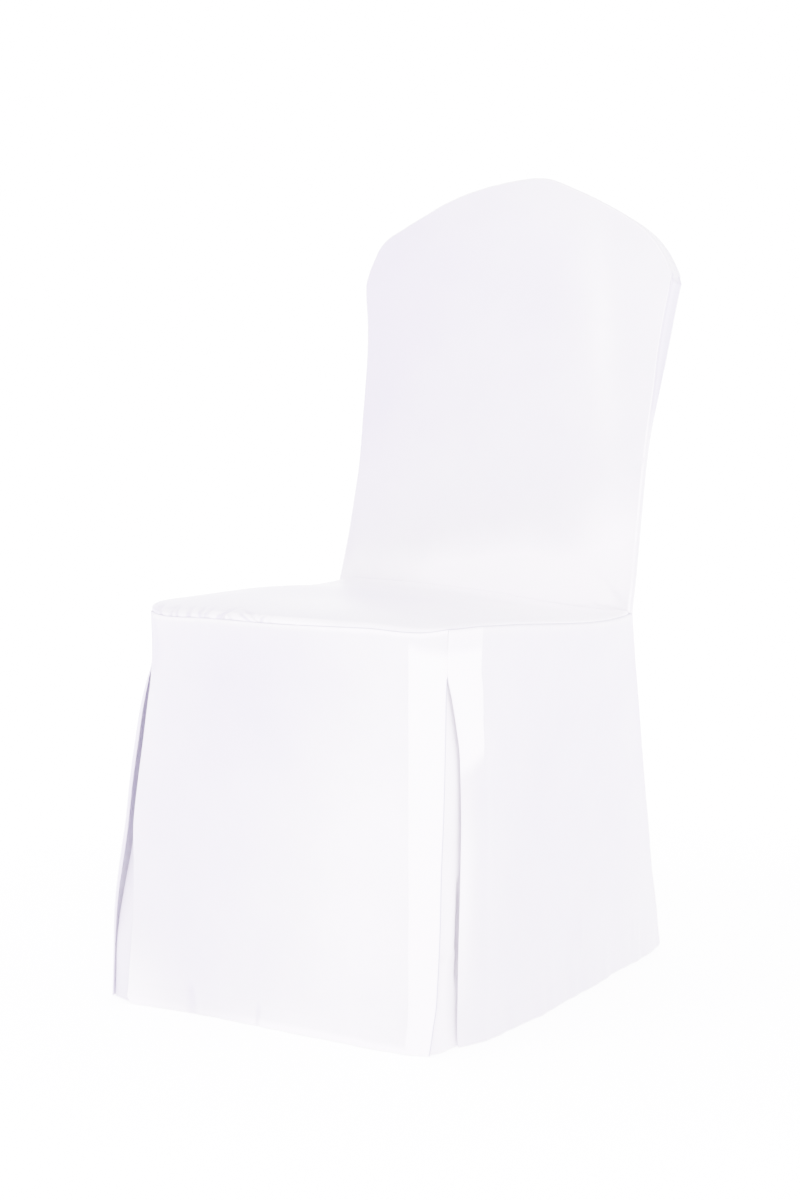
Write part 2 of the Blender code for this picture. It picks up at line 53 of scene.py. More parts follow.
# Mesh steps, and how many points a seam is laid out with before its cloth is meshed
FINE = 0.0048
SEAT_ACROSS = 0.0019
SEAT_BACK = 0.0030
SKIRT_ACROSS = 0.0030
SKIRT_HEIGHT = 0.455
BACK_ACROSS = 0.0036
BACK_WIDTH = 0.445
GUSSET_ALONG = 0.0034
GUSSET_ROWS = (0.0, 0.03, 0.07, 0.13, 0.22, 0.36, 0.5, 0.64, 0.78, 0.87, 0.93, 0.97, 1.0)
ARC_POINTS = 9
FRONT_SEAM_POINTS = 41
SIDE_SEAM_POINTS = 30
REAR_SEAM_POINTS = 61
CORNER_SEAM_POINTS = 24
REAR_HEM_POINTS = 31
TINY = 1e-12
TINY_STEP = 1e-9
TINY_SLIT = 1e-6
EDGE_STEPS = (0.0, 0.0006, 0.0012, 0.0019, 0.0028, 0.0040, 0.0056, 0.0077, 0.0104)

# All places below are laid out about the seat's middle and moved back by this at the end
SEAT_TO_ORIGIN = -0.0514

# A soft step from 0 to 1, which starts at a distance from an edge and takes a width
Band = namedtuple("Band", "start width")

# Seat, in plan and in height
SEAT_FRONT = -0.2189
SEAT_FRONT_BOW = 0.0131
SEAT_REAR = 0.2189
SEAT_HALF_FRONT = 0.2202
SEAT_HALF_REAR = 0.2145
SEAT_CORNER_RIGHT = 0.052
SEAT_CORNER_LEFT = 0.070
SEAT_CROWN = 0.0165
SEAT_ROLL = 0.0055
SEAT_ROLL_REACH = 0.006
SEAT_CROWN_REACH = 0.110
SEAT_CROWN_ROUND = 2.4
SEAT_REAR_FADE = 0.70
SEAT_REAR_BAND = Band(-0.030, 0.220)
SEAT_FLATTER = 0.55
SEAT_FLATTER_BAND = Band(0.18, 0.12)
Seam = namedtuple("Seam", "at height")
FRONT_SEAM = (
    Seam(-0.200, 0.4540),
    Seam(-0.160, 0.4522),
    Seam(-0.110, 0.4540),
    Seam(0.010, 0.4542),
    Seam(0.115, 0.4555),
    Seam(0.165, 0.4532),
    Seam(0.185, 0.4540),
    Seam(0.206, 0.4575),
)
RIGHT_SEAM = (
    Seam(-0.205, 0.4575),
    Seam(-0.175, 0.4583),
    Seam(-0.125, 0.4551),
    Seam(-0.072, 0.4513),
    Seam(-0.011, 0.4460),
    Seam(0.053, 0.4404),
    Seam(0.099, 0.4372),
    Seam(0.143, 0.4346),
    Seam(0.190, 0.4345),
    Seam(0.219, 0.4367),
)
LEFT_SEAM = (
    Seam(-0.200, 0.4540),
    Seam(-0.175, 0.4550),
    Seam(-0.072, 0.4525),
    Seam(0.060, 0.4470),
    Seam(0.140, 0.4435),
    Seam(0.219, 0.4445),
)
REAR_SEAM = (
    Seam(-0.2145, 0.4445),
    Seam(-0.197, 0.4550),
    Seam(-0.160, 0.4570),
    Seam(-0.100, 0.4563),
    Seam(-0.037, 0.4532),
    Seam(0.034, 0.4488),
    Seam(0.084, 0.4432),
    Seam(0.126, 0.4394),
    Seam(0.170, 0.4375),
    Seam(0.2145, 0.4367),
)

# Back, laid out on its raked front plane
RAKE = math.radians(12.32)
BACK_FOOT_Y = 0.2223
BACK_FOOT_Z = 0.4610
BACK_PAD = 0.0100
BACK_PAD_REACH = 0.070
BACK_PAD_ROUND = 2.2
BACK_PAD_BAND = Band(0.02, 0.20)
BACK_HOLLOW = 0.0085
BACK_HOLLOW_IN = Band(0.0, 0.055)
BACK_HOLLOW_OUT = Band(0.06, 0.15)
SHOULDER_SEAM = 0.965
GUSSET_MIDDLE = 0.690

Outline = namedtuple("Outline", "rise left right gusset")
BACK_SIDE = (
    Outline(-0.025, 0.2145, 0.2145, 0.0085),
    Outline(0.016, 0.2110, 0.2150, 0.0080),
    Outline(0.060, 0.2073, 0.2143, 0.0080),
    Outline(0.100, 0.2052, 0.2136, 0.0080),
    Outline(0.150, 0.2033, 0.2128, 0.0080),
    Outline(0.200, 0.2050, 0.2135, 0.0100),
    Outline(0.250, 0.2070, 0.2155, 0.0170),
    Outline(0.300, 0.2097, 0.2160, 0.0265),
    Outline(0.345, 0.2155, 0.2190, 0.0290),
    Outline(0.382, 0.2227, 0.2228, 0.0290),
    Outline(0.393, 0.2240, 0.2238, 0.0290),
)
BACK_CROWN = (
    Outline(0.393, 0.2240, 0.2238, 0.0290),
    Outline(0.404, 0.2224, 0.2205, 0.0290),
    Outline(0.425, 0.2158, 0.2090, 0.0290),
    Outline(0.442, 0.2085, 0.1955, 0.0280),
    Outline(0.453, 0.1990, 0.1845, 0.0280),
    Outline(0.465, 0.1795, 0.1685, 0.0280),
    Outline(0.484, 0.1450, 0.1355, 0.0280),
    Outline(0.502, 0.1100, 0.0985, 0.0280),
    Outline(0.514, 0.0750, 0.0700, 0.0280),
    Outline(0.5215, 0.0430, 0.0520, 0.0280),
    Outline(0.5265, 0.0100, 0.0360, 0.0280),
)
CROWN_PEAK = 0.5285
CROWN_PEAK_ACROSS = 0.013

# Outside back, from the crown down to the floor
REAR_HEM_HALF = 0.2122
REAR_HEM_Y = 0.3185
REAR_HEM_BOW = 0.010
Swell = namedtuple("Swell", "height depth")
REAR_SWELL = (
    Swell(0.000, 0.004),
    Swell(0.200, 0.022),
    Swell(0.440, 0.048),
    Swell(0.620, 0.044),
    Swell(0.800, 0.020),
    Swell(0.950, 0.004),
)

# Skirt hem, in plan
Place = namedtuple("Place", "x y")
FRONT_HEM = (
    Place(-0.1985, -0.2545),
    Place(-0.1790, -0.2543),
    Place(-0.1110, -0.2522),
    Place(-0.0430, -0.2534),
    Place(0.0260, -0.2580),
    Place(0.0910, -0.2595),
    Place(0.1560, -0.2630),
    Place(0.1860, -0.2623),
    Place(0.2133, -0.2546),
)
RIGHT_HEM = (
    Place(0.2215, -0.2085),
    Place(0.2310, -0.1850),
    Place(0.2368, -0.1640),
    Place(0.2368, -0.1000),
    Place(0.2340, -0.0100),
    Place(0.2295, 0.0800),
    Place(0.2247, 0.1750),
    Place(0.2218, 0.2450),
    Place(0.2122, 0.3185),
)
LEFT_HEM = (
    Place(-0.2318, -0.2390),
    Place(-0.2355, -0.2050),
    Place(-0.2378, -0.1640),
    Place(-0.2368, -0.1000),
    Place(-0.2340, -0.0100),
    Place(-0.2295, 0.0800),
    Place(-0.2247, 0.1750),
    Place(-0.2198, 0.2450),
    Place(-0.2122, 0.3185),
)
SKIRT_LAG = 0.045
EDGE_MARGIN = 0.12

# Corner pleats: the edges of each slit, from the floor to the end of the stitching
Slit = namedtuple("Slit", "height front_x front_y side_x side_y")
RIGHT_SLIT = (
    Slit(0.000, 0.2133, -0.2546, 0.2215, -0.2085),
    Slit(0.014, 0.2148, -0.2530, 0.2212, -0.2105),
    Slit(0.030, 0.2163, -0.2514, 0.2203, -0.2095),
    Slit(0.057, 0.2188, -0.2485, 0.2194, -0.2070),
    Slit(0.131, 0.2179, -0.2402, 0.2168, -0.1995),
    Slit(0.198, 0.2151, -0.2327, 0.2143, -0.1922),
    Slit(0.258, 0.2139, -0.2261, 0.2120, -0.1872),
    Slit(0.312, 0.2118, -0.2201, 0.2101, -0.1868),
    Slit(0.352, 0.2100, -0.2157, 0.2087, -0.1935),
    Slit(0.384, 0.2082, -0.2118, 0.2077, -0.2014),
    Slit(0.407, 0.2070, -0.2083, 0.2070, -0.2083),
)
LEFT_SLIT = (
    Slit(0.000, -0.1985, -0.2545, -0.2318, -0.2390),
    Slit(0.040, -0.1985, -0.2500, -0.2325, -0.2357),
    Slit(0.090, -0.1983, -0.2440, -0.2330, -0.2320),
    Slit(0.160, -0.2010, -0.2365, -0.2288, -0.2265),
    Slit(0.208, -0.2045, -0.2310, -0.2235, -0.2229),
    Slit(0.255, -0.2015, -0.2260, -0.2198, -0.2192),
    Slit(0.303, -0.1970, -0.2208, -0.2131, -0.2155),
    Slit(0.350, -0.1925, -0.2160, -0.2050, -0.2115),
    Slit(0.374, -0.1905, -0.2130, -0.1990, -0.2090),
    Slit(0.398, -0.1915, -0.2085, -0.1915, -0.2085),
)
STITCHED_SLIT = 0.052

# How the left side skirt's slit edge curls round the corner, by its height
WRAP = ((0.0, 0.06, 0.13, 0.20, 0.30, 0.36, 0.40), (0.05, 0.06, 0.14, 0.36, 0.40, 0.34, 0.20))
WRAP_SHIFT = (0.0008, 0.0012, 0.0)
WRAP_LEAST = 0.0012
WRAP_BULGE = 0.18
WRAP_COLUMNS = 8

# Underlays behind the slits, set back from the panels that they lie behind
UNDERLAY_TOP_DROP = 0.006
UNDERLAY_REACH = 0.045
UNDERLAY_COLUMNS = 60
UNDERLAY_BEHIND_FRONT = 0.008
UNDERLAY_BEHIND_FRONT_EDGE = 0.007
UNDERLAY_BEHIND_RIGHT_EDGE = 0.0065
UNDERLAY_BEHIND_LEFT_EDGE = 0.012
UNDERLAY_BEHIND_SIDE_HEM = 0.0045
UNDERLAY_BEHIND_LEFT_HEM = 0.0030
UNDERLAY_HEM_REACH = 0.150
UNDERLAY_LEFT_HEM = 0.045
UNDERLAY_FREE = 0.024
UNDERLAY_FREE_AT = 0.128
UNDERLAY_FREE_HALF = 0.064
UNDERLAY_FREE_WIDTH = 0.0065
UNDERLAY_FREE_SHARE = 0.4
UNDERLAY_FREE_FADE = 1.6
UNDERLAY_BEHIND_SIDE = 0.010
UNDERLAY_BEND_POINTS = 12

# Long soft folds that stand out from a panel: place across at the hem, lean, half width
Fold = namedtuple("Fold", "at lean width depth low high")
FRONT_FOLDS = (
    Fold(0.115, 0.030, 0.050, 0.0045, 0.020, 0.400),
    Fold(-0.060, -0.020, 0.060, 0.0030, 0.060, 0.420),
)
SIDE_FOLDS = (
    Fold(-0.125, 0.010, 0.035, -0.0035, 0.060, 0.380),
    Fold(-0.040, 0.015, 0.040, 0.0030, 0.000, 0.300),
    Fold(0.090, 0.000, 0.034, 0.0032, 0.000, 0.180),
)
REAR_FOLDS = (
    Fold(-0.125, 0.010, 0.036, 0.0055, 0.000, 0.700),
    Fold(-0.030, -0.008, 0.040, -0.0060, 0.000, 0.640),
    Fold(0.060, 0.010, 0.036, 0.0050, 0.000, 0.680),
    Fold(0.140, -0.010, 0.034, -0.0045, 0.000, 0.600),
)
BACK_FOLDS = (
    Fold(0.150, 0.060, 0.030, -0.0030, 0.000, 0.120),
)
FOLD_FADE = 1.35


# Lines and grids

def smooth(t):
    """A ramp from 0 to 1 with level ends."""
    t = np.clip(t, 0.0, 1.0)
    return t * t * (3.0 - 2.0 * t)


def past(distance, band):
    """0 up to where a band starts, 1 past its width, and a soft step between."""
    return smooth((distance - band.start) / band.width)


def nearest(*distances):
    """The least of several distances, point by point."""
    return np.minimum.reduce(distances)


def lengths(line):
    """Distance along a line of points to each of them."""
    steps = np.linalg.norm(np.diff(line, axis=0), axis=1)
    return np.concatenate([[0.0], np.cumsum(steps)])


def curve_through(rows, fine=10):
    """A smooth line through the rows that doesn't overshoot between them."""
    points = np.array(rows, float)
    runs = np.maximum(np.diff(lengths(points)), TINY_STEP)[:, None]
    secants = np.diff(points, axis=0) / runs
    slopes = np.zeros_like(points)
    mixed = (runs[1:] * secants[:-1] + runs[:-1] * secants[1:]) / (runs[1:] + runs[:-1])
    slopes[1:-1] = np.where(secants[:-1] * secants[1:] > 0, mixed, 0.0)
    slopes[0] = secants[0]
    slopes[-1] = secants[-1]
    t = np.linspace(0.0, 1.0, fine, endpoint=False)[:, None]
    parts = []
    for i, run in enumerate(runs):
        start = (1 + 2 * t) * (1 - t) ** 2 * points[i] + t * (1 - t) ** 2 * run * slopes[i]
        end = t * t * (3 - 2 * t) * points[i + 1] + t * t * (t - 1) * run * slopes[i + 1]
        parts.append(start + end)
    parts.append(points[-1:])
    return np.concatenate(parts)


def along(line, parts):
    """Points at the given fractions of a line's length."""
    at = lengths(line)
    want = np.asarray(parts) * at[-1]
    return np.stack([np.interp(want, at, line[:, i]) for i in range(line.shape[1])], axis=1)


def seam_height(table, at):
    """Height of a seat seam at a distance across or back."""
    line = curve_through(table)
    return np.interp(at, line[:, 0], line[:, 1])


def on_back(x, rise, depth):
    """A point of the raked back, given across it, up its slope and into it."""
    y = BACK_FOOT_Y + rise * math.sin(RAKE) + depth * math.cos(RAKE)
    z = BACK_FOOT_Z + rise * math.cos(RAKE) - depth * math.sin(RAKE)
    return np.stack([x, y, z], axis=-1)


def rise_of(height):
    """Distance up the back's slope to a height."""
    return (height - BACK_FOOT_Z) / math.cos(RAKE)


def corner_arc(side, end):
    """Plan of half a front corner of the seat, from its slit to the front or the side."""
    radius = SEAT_CORNER_RIGHT if side > 0 else SEAT_CORNER_LEFT
    turn = np.radians(np.linspace(45.0, 0.0 if end == "front" else 90.0, ARC_POINTS))
    x = SEAT_HALF_FRONT - radius + radius * np.sin(turn)
    y = SEAT_FRONT + radius - radius * np.cos(turn)
    return np.stack([x * side, y], axis=1)


def front_seam_line():
    """The seam over the front skirt, from the left slit to the right one."""
    left = corner_arc(-1, "front")
    right = corner_arc(1, "front")[::-1]
    x = np.linspace(left[-1, 0], right[0, 0], FRONT_SEAM_POINTS)
    middle = (x[0] + x[-1]) / 2
    reach = (x[-1] - x[0]) / 2
    y = SEAT_FRONT - SEAT_FRONT_BOW * (1 - ((x - middle) / reach) ** 2)
    plan = np.concatenate([left, np.stack([x, y], axis=1)[1:-1], right])
    return np.column_stack([plan, seam_height(FRONT_SEAM, plan[:, 0])])


def side_seam_line(side):
    """The seam over a side skirt, from the slit to the seat's rear corner."""
    arc = corner_arc(side, "side")
    rear = (SEAT_HALF_REAR * side, SEAT_REAR)
    run = along(np.array([arc[-1], rear]), np.linspace(0.0, 1.0, SIDE_SEAM_POINTS)[1:])
    plan = np.concatenate([arc, run])
    table = RIGHT_SEAM if side > 0 else LEFT_SEAM
    return np.column_stack([plan, seam_height(table, plan[:, 1])])


def rear_seam_line():
    """The seam between the seat and the inside back, from left to right."""
    x = np.linspace(-SEAT_HALF_REAR, SEAT_HALF_REAR, REAR_SEAM_POINTS)
    return on_back(x, rise_of(seam_height(REAR_SEAM, x)), np.zeros_like(x))


def back_side_line(side):
    """One side of the back as across, rise and gusset depth, from the seat to the ear."""
    foot = REAR_SEAM[-1] if side > 0 else REAR_SEAM[0]
    rows = [(row.right if side > 0 else row.left, row.rise, row.gusset) for row in BACK_SIDE]
    rows[0] = (abs(foot.at), rise_of(foot.height), BACK_SIDE[0].gusset)
    return curve_through(rows) * (side, 1, 1)


def back_crown_line():
    """The back's top as across, rise and gusset depth, from the left ear to the right one."""
    left = [(-row.left, row.rise, row.gusset) for row in BACK_CROWN]
    right = [(row.right, row.rise, row.gusset) for row in BACK_CROWN[::-1]]
    peak = [(CROWN_PEAK_ACROSS, CROWN_PEAK, BACK_CROWN[-1].gusset)]
    return curve_through(left + peak + right, fine=5)


def slit_line(side, panel):
    """The edge of a skirt panel at a front corner, from the floor to the seat seam."""
    rows = RIGHT_SLIT if side > 0 else LEFT_SLIT
    if panel == "front":
        line = [(row.front_x, row.front_y, row.height) for row in rows]
    else:
        line = [(row.side_x, row.side_y, row.height) for row in rows]
    line[0] = (line[0][0], line[0][1], HEM_LIFT)
    line.append(tuple(side_seam_line(side)[0]))
    return curve_through(line)


def rear_corner_line(side):
    """The seam between a side skirt and the outside back, from the floor to the gusset."""
    foot = back_side_line(side)[0]
    top = on_back(foot[0], foot[1], foot[2])
    hem = np.array([REAR_HEM_HALF * side, REAR_HEM_Y, HEM_LIFT])
    v = np.linspace(0.0, 1.0, CORNER_SEAM_POINTS)[:, None]
    line = hem + v * (top - hem)
    line[:, :2] += SKIRT_LAG * np.sin(math.pi * v) * (top - hem)[:2]
    return line


def parts_of(length, step=FINE, lines=()):
    """Fractions of a length, even in the middle and finer near both ends, at the seams."""
    near = np.array(EDGE_STEPS)
    count = max(2, round((length - 2 * near[-1]) / step) + 1)
    middle = np.linspace(near[-1], length - near[-1], count)
    places = np.concatenate([near, middle, length - near, lines])
    return np.unique(np.round(places, 6)) / length


def spanned(bottom, top, left, right, u, v):
    """A grid of points between four border lines, its rows running from bottom to top."""
    u = u[None, :, None]
    v = v[:, None, None]
    across = (1 - v) * bottom[None] + v * top[None]
    upward = (1 - u) * left[:, None] + u * right[:, None]
    lower = (1 - u) * bottom[0] + u * bottom[-1]
    upper = (1 - u) * top[0] + u * top[-1]
    return across + upward - (1 - v) * lower - v * upper


def distance_to(points, line):
    """Shortest distance from each point of a grid to a line."""
    best = np.full(points.shape[:-1], np.inf)
    for start, end in zip(line[:-1], line[1:]):
        step = end - start
        away = points - start
        t = np.clip((away @ step) / max(step @ step, TINY), 0.0, 1.0)
        best = np.minimum(best, np.linalg.norm(away - t[..., None] * step, axis=-1))
    return best


MOST_PULL = 0.45


def pull_in(grid, bottom=SEAM_GAP, top=SEAM_GAP, left=SEAM_GAP, right=SEAM_GAP):
    """Draws a grid's borders in from its seams, so that neighbouring pieces stay apart."""
    def moved(border, inner, amount):
        step = inner - border
        size = np.maximum(np.linalg.norm(step, axis=-1, keepdims=True), TINY_STEP)
        return border + step * np.minimum(amount / size, MOST_PULL)

    grid = grid.copy()
    grid[0] = moved(grid[0], grid[1], bottom)
    grid[-1] = moved(grid[-1], grid[-2], top)
    grid[:, 0] = moved(grid[:, 0], grid[:, 1], left)
    grid[:, -1] = moved(grid[:, -1], grid[:, -2], right)
    return grid


def fold_relief(folds, across, height):
    """How far a panel's long folds lift it off its smooth form."""
    relief = np.zeros_like(height)
    for fold in folds:
        centre = fold.at + fold.lean * height / fold.high
        ridge = np.exp(-0.5 * ((across - centre) / fold.width) ** 2)
        middle = (fold.low + fold.high) / 2
        half = (fold.high - fold.low) / 2
        if fold.low > 0:
            fade = smooth(FOLD_FADE * (1.0 - np.abs(height - middle) / half))
        else:
            fade = smooth(FOLD_FADE * (1.0 - height / fold.high))
        relief += fold.depth * ridge * fade
    return relief


def edge_fade(u, v):
    """1 inside a panel and 0 at its sides and top, where sewing holds it still."""
    sides = smooth(np.minimum(u, 1.0 - u) / EDGE_MARGIN)
    return sides[None, :] * smooth((1.0 - v) / EDGE_MARGIN)[:, None]


# How cloth behaves at its seams and edges

Cut = namedtuple("Cut", "left right bottom top")
Ridge = namedtuple("Ridge", "height reach")
Pucker = namedtuple("Pucker", "at lean width reach depth")
Crease = namedtuple("Crease", "x0 y0 x1 y1 width depth")

# The soft ridge beside each seam, and how deep and how near the cloth turns down into it
SEAM_ROLL = Ridge(0.0008, 0.0030)
SEAT_EDGE_ROLL = Ridge(0.0023, 0.0045)
SEAT_REAR_ROLL = Ridge(0.0014, 0.0045)
BACK_RIM_ROLL = Ridge(0.0009, 0.0028)
BACK_FOOT_ROLL = Ridge(0.0008, 0.0040)
GUSSET_ROLL = Ridge(0.0009, 0.0026)
GUSSET_ROLL_BAND = Band(0.0, 0.014)
SHOULDER_ROLL = Ridge(0.0008, 0.0040)
SKIRT_TOP_ROLL = Ridge(0.0006, 0.0035)
SLIT_ROLL = Ridge(0.0006, 0.0030)
SEAM_TUCK = Ridge(0.0021, 0.0012)
GUSSET_TUCK = Ridge(0.0017, 0.0010)
GUSSET_TUCK_BAND = Band(0.0, 0.010)
SHOULDER_TUCK = Ridge(0.0012, 0.0016)
SKIRT_TOP_TUCK = Ridge(0.0014, 0.0012)

# Small puckers between two places on a seam, and how much each one may differ
Run = namedtuple("Run", "seed start end count depth reach")
SEAT_FRONT_RUN = Run(11, 0.02, 0.40, 34, 0.0005, 0.008)
SEAT_REAR_RUN = Run(12, 0.01, 0.42, 44, 0.0006, 0.010)
SEAT_SIDE_RUN = Run(13, 0.02, 0.42, 26, 0.0005, 0.009)
BACK_FOOT_RUN = Run(21, 0.01, 0.42, 46, 0.0006, 0.012)
BACK_SIDE_RUN = Run(22, 0.03, 0.42, 26, 0.0003, 0.007)
GUSSET_RUN = Run(31, 0.02, 1.36, 70, 0.0005, 0.010)
REAR_SIDE_RUN = Run(41, 0.05, 0.95, 60, 0.0005, 0.012)
SKIRT_TOP_RUN = Run(0, 0.01, 0.50, 44, 0.0004, 0.014)
SKIRT_SIDE_RUN = Run(1, 0.02, 0.44, 26, 0.0005, 0.012)
PUCKER_LEANS = (-0.5, 0.5)
PUCKER_WIDTHS = (0.0016, 0.0036)
PUCKER_REACHES = (0.5, 1.3)
PUCKER_DEPTHS = (0.2, 1.0)

# Soft unevenness of hanging cloth, and how far from a seam it is held flat
Waves = namedtuple("Waves", "seed size height")
SEAT_WAVES = Waves(14, 0.120, 0.0004)
BACK_WAVES = Waves(23, 0.150, 0.0005)
REAR_WAVES = Waves(43, 0.160, 0.0009)
SKIRT_WAVES = Waves(3, 0.140, 0.0006)
UNDERLAY_WAVES = Waves(62, 0.090, 0.0006)
WAVE_COUNT = 8
WAVE_SIZES = (0.6, 1.8)
WAVE_PHASE = 6.28
WAVE_SUM = 3.0
SEAT_HELD = 0.03
PANEL_HELD = 0.04
SKIRT_HELD = 0.05

# Waves along a free hem, and how high they reach
HEM_WAVES = (0.031, 0.047, 0.083, 0.142)
HEM_WAVE_DEPTH = 0.0004
HEM_WAVE_REACH = 0.07
REAR_HEM_SEED = 42
UNDERLAY_HEM_SEED = 60

# How the ends of a crease taper off
CREASE_TAPER = 1.6
CREASE_BLUNT = 0.25


def cut_of(grid):
    """Distance along the cloth of each point of a grid from the panel's four edges."""
    across = np.cumsum(np.linalg.norm(np.diff(grid, axis=1), axis=-1), axis=1)
    across = np.concatenate([np.zeros((len(grid), 1)), across], axis=1)
    rise = np.cumsum(np.linalg.norm(np.diff(grid, axis=0), axis=-1), axis=0)
    rise = np.concatenate([np.zeros((1, grid.shape[1])), rise], axis=0)
    return Cut(across, across[:, -1:] - across, rise, rise[-1:] - rise)


def outward_of(grid):
    """Unit normals of a grid, on the side of the cloth that shows."""
    normal = np.cross(np.gradient(grid, axis=1), np.gradient(grid, axis=0))
    return normal / np.maximum(np.linalg.norm(normal, axis=-1, keepdims=True), TINY)


def raised(grid, relief):
    """The grid with its cloth lifted by a relief along its normals."""
    return grid + relief[..., None] * outward_of(grid)


def tucked(distance, tuck=SEAM_TUCK):
    """The last bit of cloth before a seam, which turns down into it."""
    return -tuck.height * np.exp(-((distance / tuck.reach) ** 2))


def rolled(distance, roll=SEAM_ROLL):
    """The soft ridge that a seam's hidden allowance makes beside it."""
    t = distance / roll.reach
    return roll.height * t * np.exp(1.0 - t)


def puckers(along_seam, from_seam, rows):
    """Short creases that run away from a seam, where the stitching draws it up."""
    relief = np.zeros_like(along_seam)
    for row in rows:
        off = (along_seam - row.at - row.lean * from_seam) / row.width
        relief += row.depth * np.exp(-off * off) * (1.0 - smooth(from_seam / row.reach))
    return relief


def small_puckers(run, seed=0):
    """A run of small uneven puckers between two places on a seam."""
    draw = np.random.default_rng(run.seed + seed)
    return [
        Pucker(
            place,
            draw.uniform(*PUCKER_LEANS),
            draw.uniform(*PUCKER_WIDTHS),
            run.reach * draw.uniform(*PUCKER_REACHES),
            -run.depth * draw.uniform(*PUCKER_DEPTHS),
        )
        for place in np.sort(draw.uniform(run.start, run.end, run.count))
    ]


def creases(x, y, rows):
    """Ridges and troughs along lines that are laid out in a panel's own cloth; rows of tones give
    painted shade along such lines instead.
    """
    relief = np.zeros_like(x)
    for row in rows:
        run = np.array([row.x1 - row.x0, row.y1 - row.y0])
        size = run @ run
        t = ((x - row.x0) * run[0] + (y - row.y0) * run[1]) / size
        near = np.clip(t, 0.0, 1.0)
        off = np.hypot(x - row.x0 - near * run[0], y - row.y0 - near * run[1])
        ends = smooth(CREASE_TAPER * (1.0 - np.abs(2.0 * near - 1.0)) + CREASE_BLUNT)
        relief += row.depth * ends * np.exp(-((off / row.width) ** 2))
    return relief


def uneven(points, waves, seed=0):
    """Soft unevenness of hanging cloth: a few broad waves that run in several directions."""
    draw = np.random.default_rng(waves.seed + seed)
    relief = np.zeros(points.shape[:-1])
    for _ in range(WAVE_COUNT):
        direction = draw.normal(size=3)
        direction /= np.linalg.norm(direction)
        wave = waves.size * draw.uniform(*WAVE_SIZES)
        relief += np.sin(2 * math.pi * (points @ direction) / wave + draw.uniform(0.0, WAVE_PHASE))
    return waves.height * relief / WAVE_SUM


# The nine panels

FRONT_ROLL_PUCKERS = (
    Pucker(0.030, 0.60, 0.0030, 0.020, -0.0022),
    Pucker(0.047, 0.90, 0.0024, 0.022, -0.0028),
    Pucker(0.058, 0.50, 0.0022, 0.020, -0.0026),
    Pucker(0.078, 0.60, 0.0032, 0.020, -0.0028),
    Pucker(0.099, 0.30, 0.0022, 0.022, -0.0030),
    Pucker(0.106, 0.90, 0.0022, 0.020, -0.0026),
    Pucker(0.128, 1.20, 0.0026, 0.026, -0.0036),
    Pucker(0.139, 0.40, 0.0028, 0.014, -0.0016),
    Pucker(0.152, -0.20, 0.0034, 0.014, -0.0014),
    Pucker(0.180, -1.30, 0.0026, 0.024, -0.0032),
    Pucker(0.196, 0.70, 0.0026, 0.015, -0.0022),
)
CORNER_WRINKLES = (
    Pucker(0.006, 0.30, 0.0040, 0.045, -0.0014),
    Pucker(0.017, 0.60, 0.0036, 0.040, -0.0012),
    Pucker(0.030, 0.85, 0.0036, 0.034, -0.0011),
    Pucker(0.046, 0.90, 0.0036, 0.026, -0.0009),
    Pucker(0.064, 0.70, 0.0032, 0.018, -0.0007),
)


def seat_form():
    """The seat panel: crowned, rolled over its seams and puckered along the front left."""
    width = 2 * SEAT_HALF_FRONT
    depth = SEAT_REAR - SEAT_FRONT
    u = parts_of(width, SEAT_ACROSS)
    v = parts_of(depth, SEAT_BACK)
    front = front_seam_line()
    rear = rear_seam_line()
    left = side_seam_line(-1)
    right = side_seam_line(1)
    left[-1] = rear[0]
    right[-1] = rear[-1]
    grid = spanned(along(front, u), along(rear, u), along(left, v), along(right, v), u, v)
    plan = grid[..., :2]
    to_front = distance_to(plan, front[:, :2])
    to_right = distance_to(plan, right[:, :2])
    to_rear = distance_to(plan, rear[:, :2])
    open_edge = nearest(to_front, distance_to(plan, left[:, :2]), to_right)
    inward = nearest(open_edge, to_rear)
    roll = SEAT_ROLL * (1.0 - np.exp(-inward / SEAT_ROLL_REACH))
    crown = 1.0 - (1.0 - np.clip(inward / SEAT_CROWN_REACH, 0.0, 1.0)) ** SEAT_CROWN_ROUND
    fade = 1.0 - SEAT_REAR_FADE * past(grid[..., 1], SEAT_REAR_BAND)
    grid[..., 2] += roll * (0.5 + 0.5 * fade) + (SEAT_CROWN - SEAT_ROLL) * crown * fade
    cut = cut_of(grid)
    full = 1.0 - SEAT_FLATTER * past(cut.left, SEAT_FLATTER_BAND)
    relief = full * rolled(open_edge, SEAT_EDGE_ROLL) + rolled(to_rear, SEAT_REAR_ROLL)
    relief += tucked(inward)
    relief += puckers(cut.left, to_front, FRONT_ROLL_PUCKERS)
    relief += puckers(cut.left, to_front, small_puckers(SEAT_FRONT_RUN))
    relief += puckers(cut.left, to_rear, small_puckers(SEAT_REAR_RUN))
    relief += puckers(cut.right, to_rear, CORNER_WRINKLES)
    relief += puckers(cut.bottom, to_right, small_puckers(SEAT_SIDE_RUN))
    relief += uneven(grid, SEAT_WAVES) * smooth(inward / SEAT_HELD)
    return pull_in(raised(grid, relief))


BACK_CREASES = (
    Crease(0.012, 0.165, 0.040, 0.172, 0.0035, 0.0012),
    Crease(0.004, 0.180, 0.020, 0.186, 0.0030, -0.0013),
    Crease(0.010, 0.190, 0.016, 0.225, 0.0060, 0.0010),
    Crease(0.020, 0.200, 0.024, 0.250, 0.0070, -0.0008),
    Crease(0.066, 0.050, 0.010, 0.008, 0.0070, -0.0022),
    Crease(0.085, 0.032, 0.030, 0.006, 0.0060, 0.0012),
    Crease(0.058, 0.009, 0.004, 0.004, 0.0022, -0.0010),
    Crease(0.0005, 0.190, 0.0040, 0.189, 0.0024, -0.0030),
)


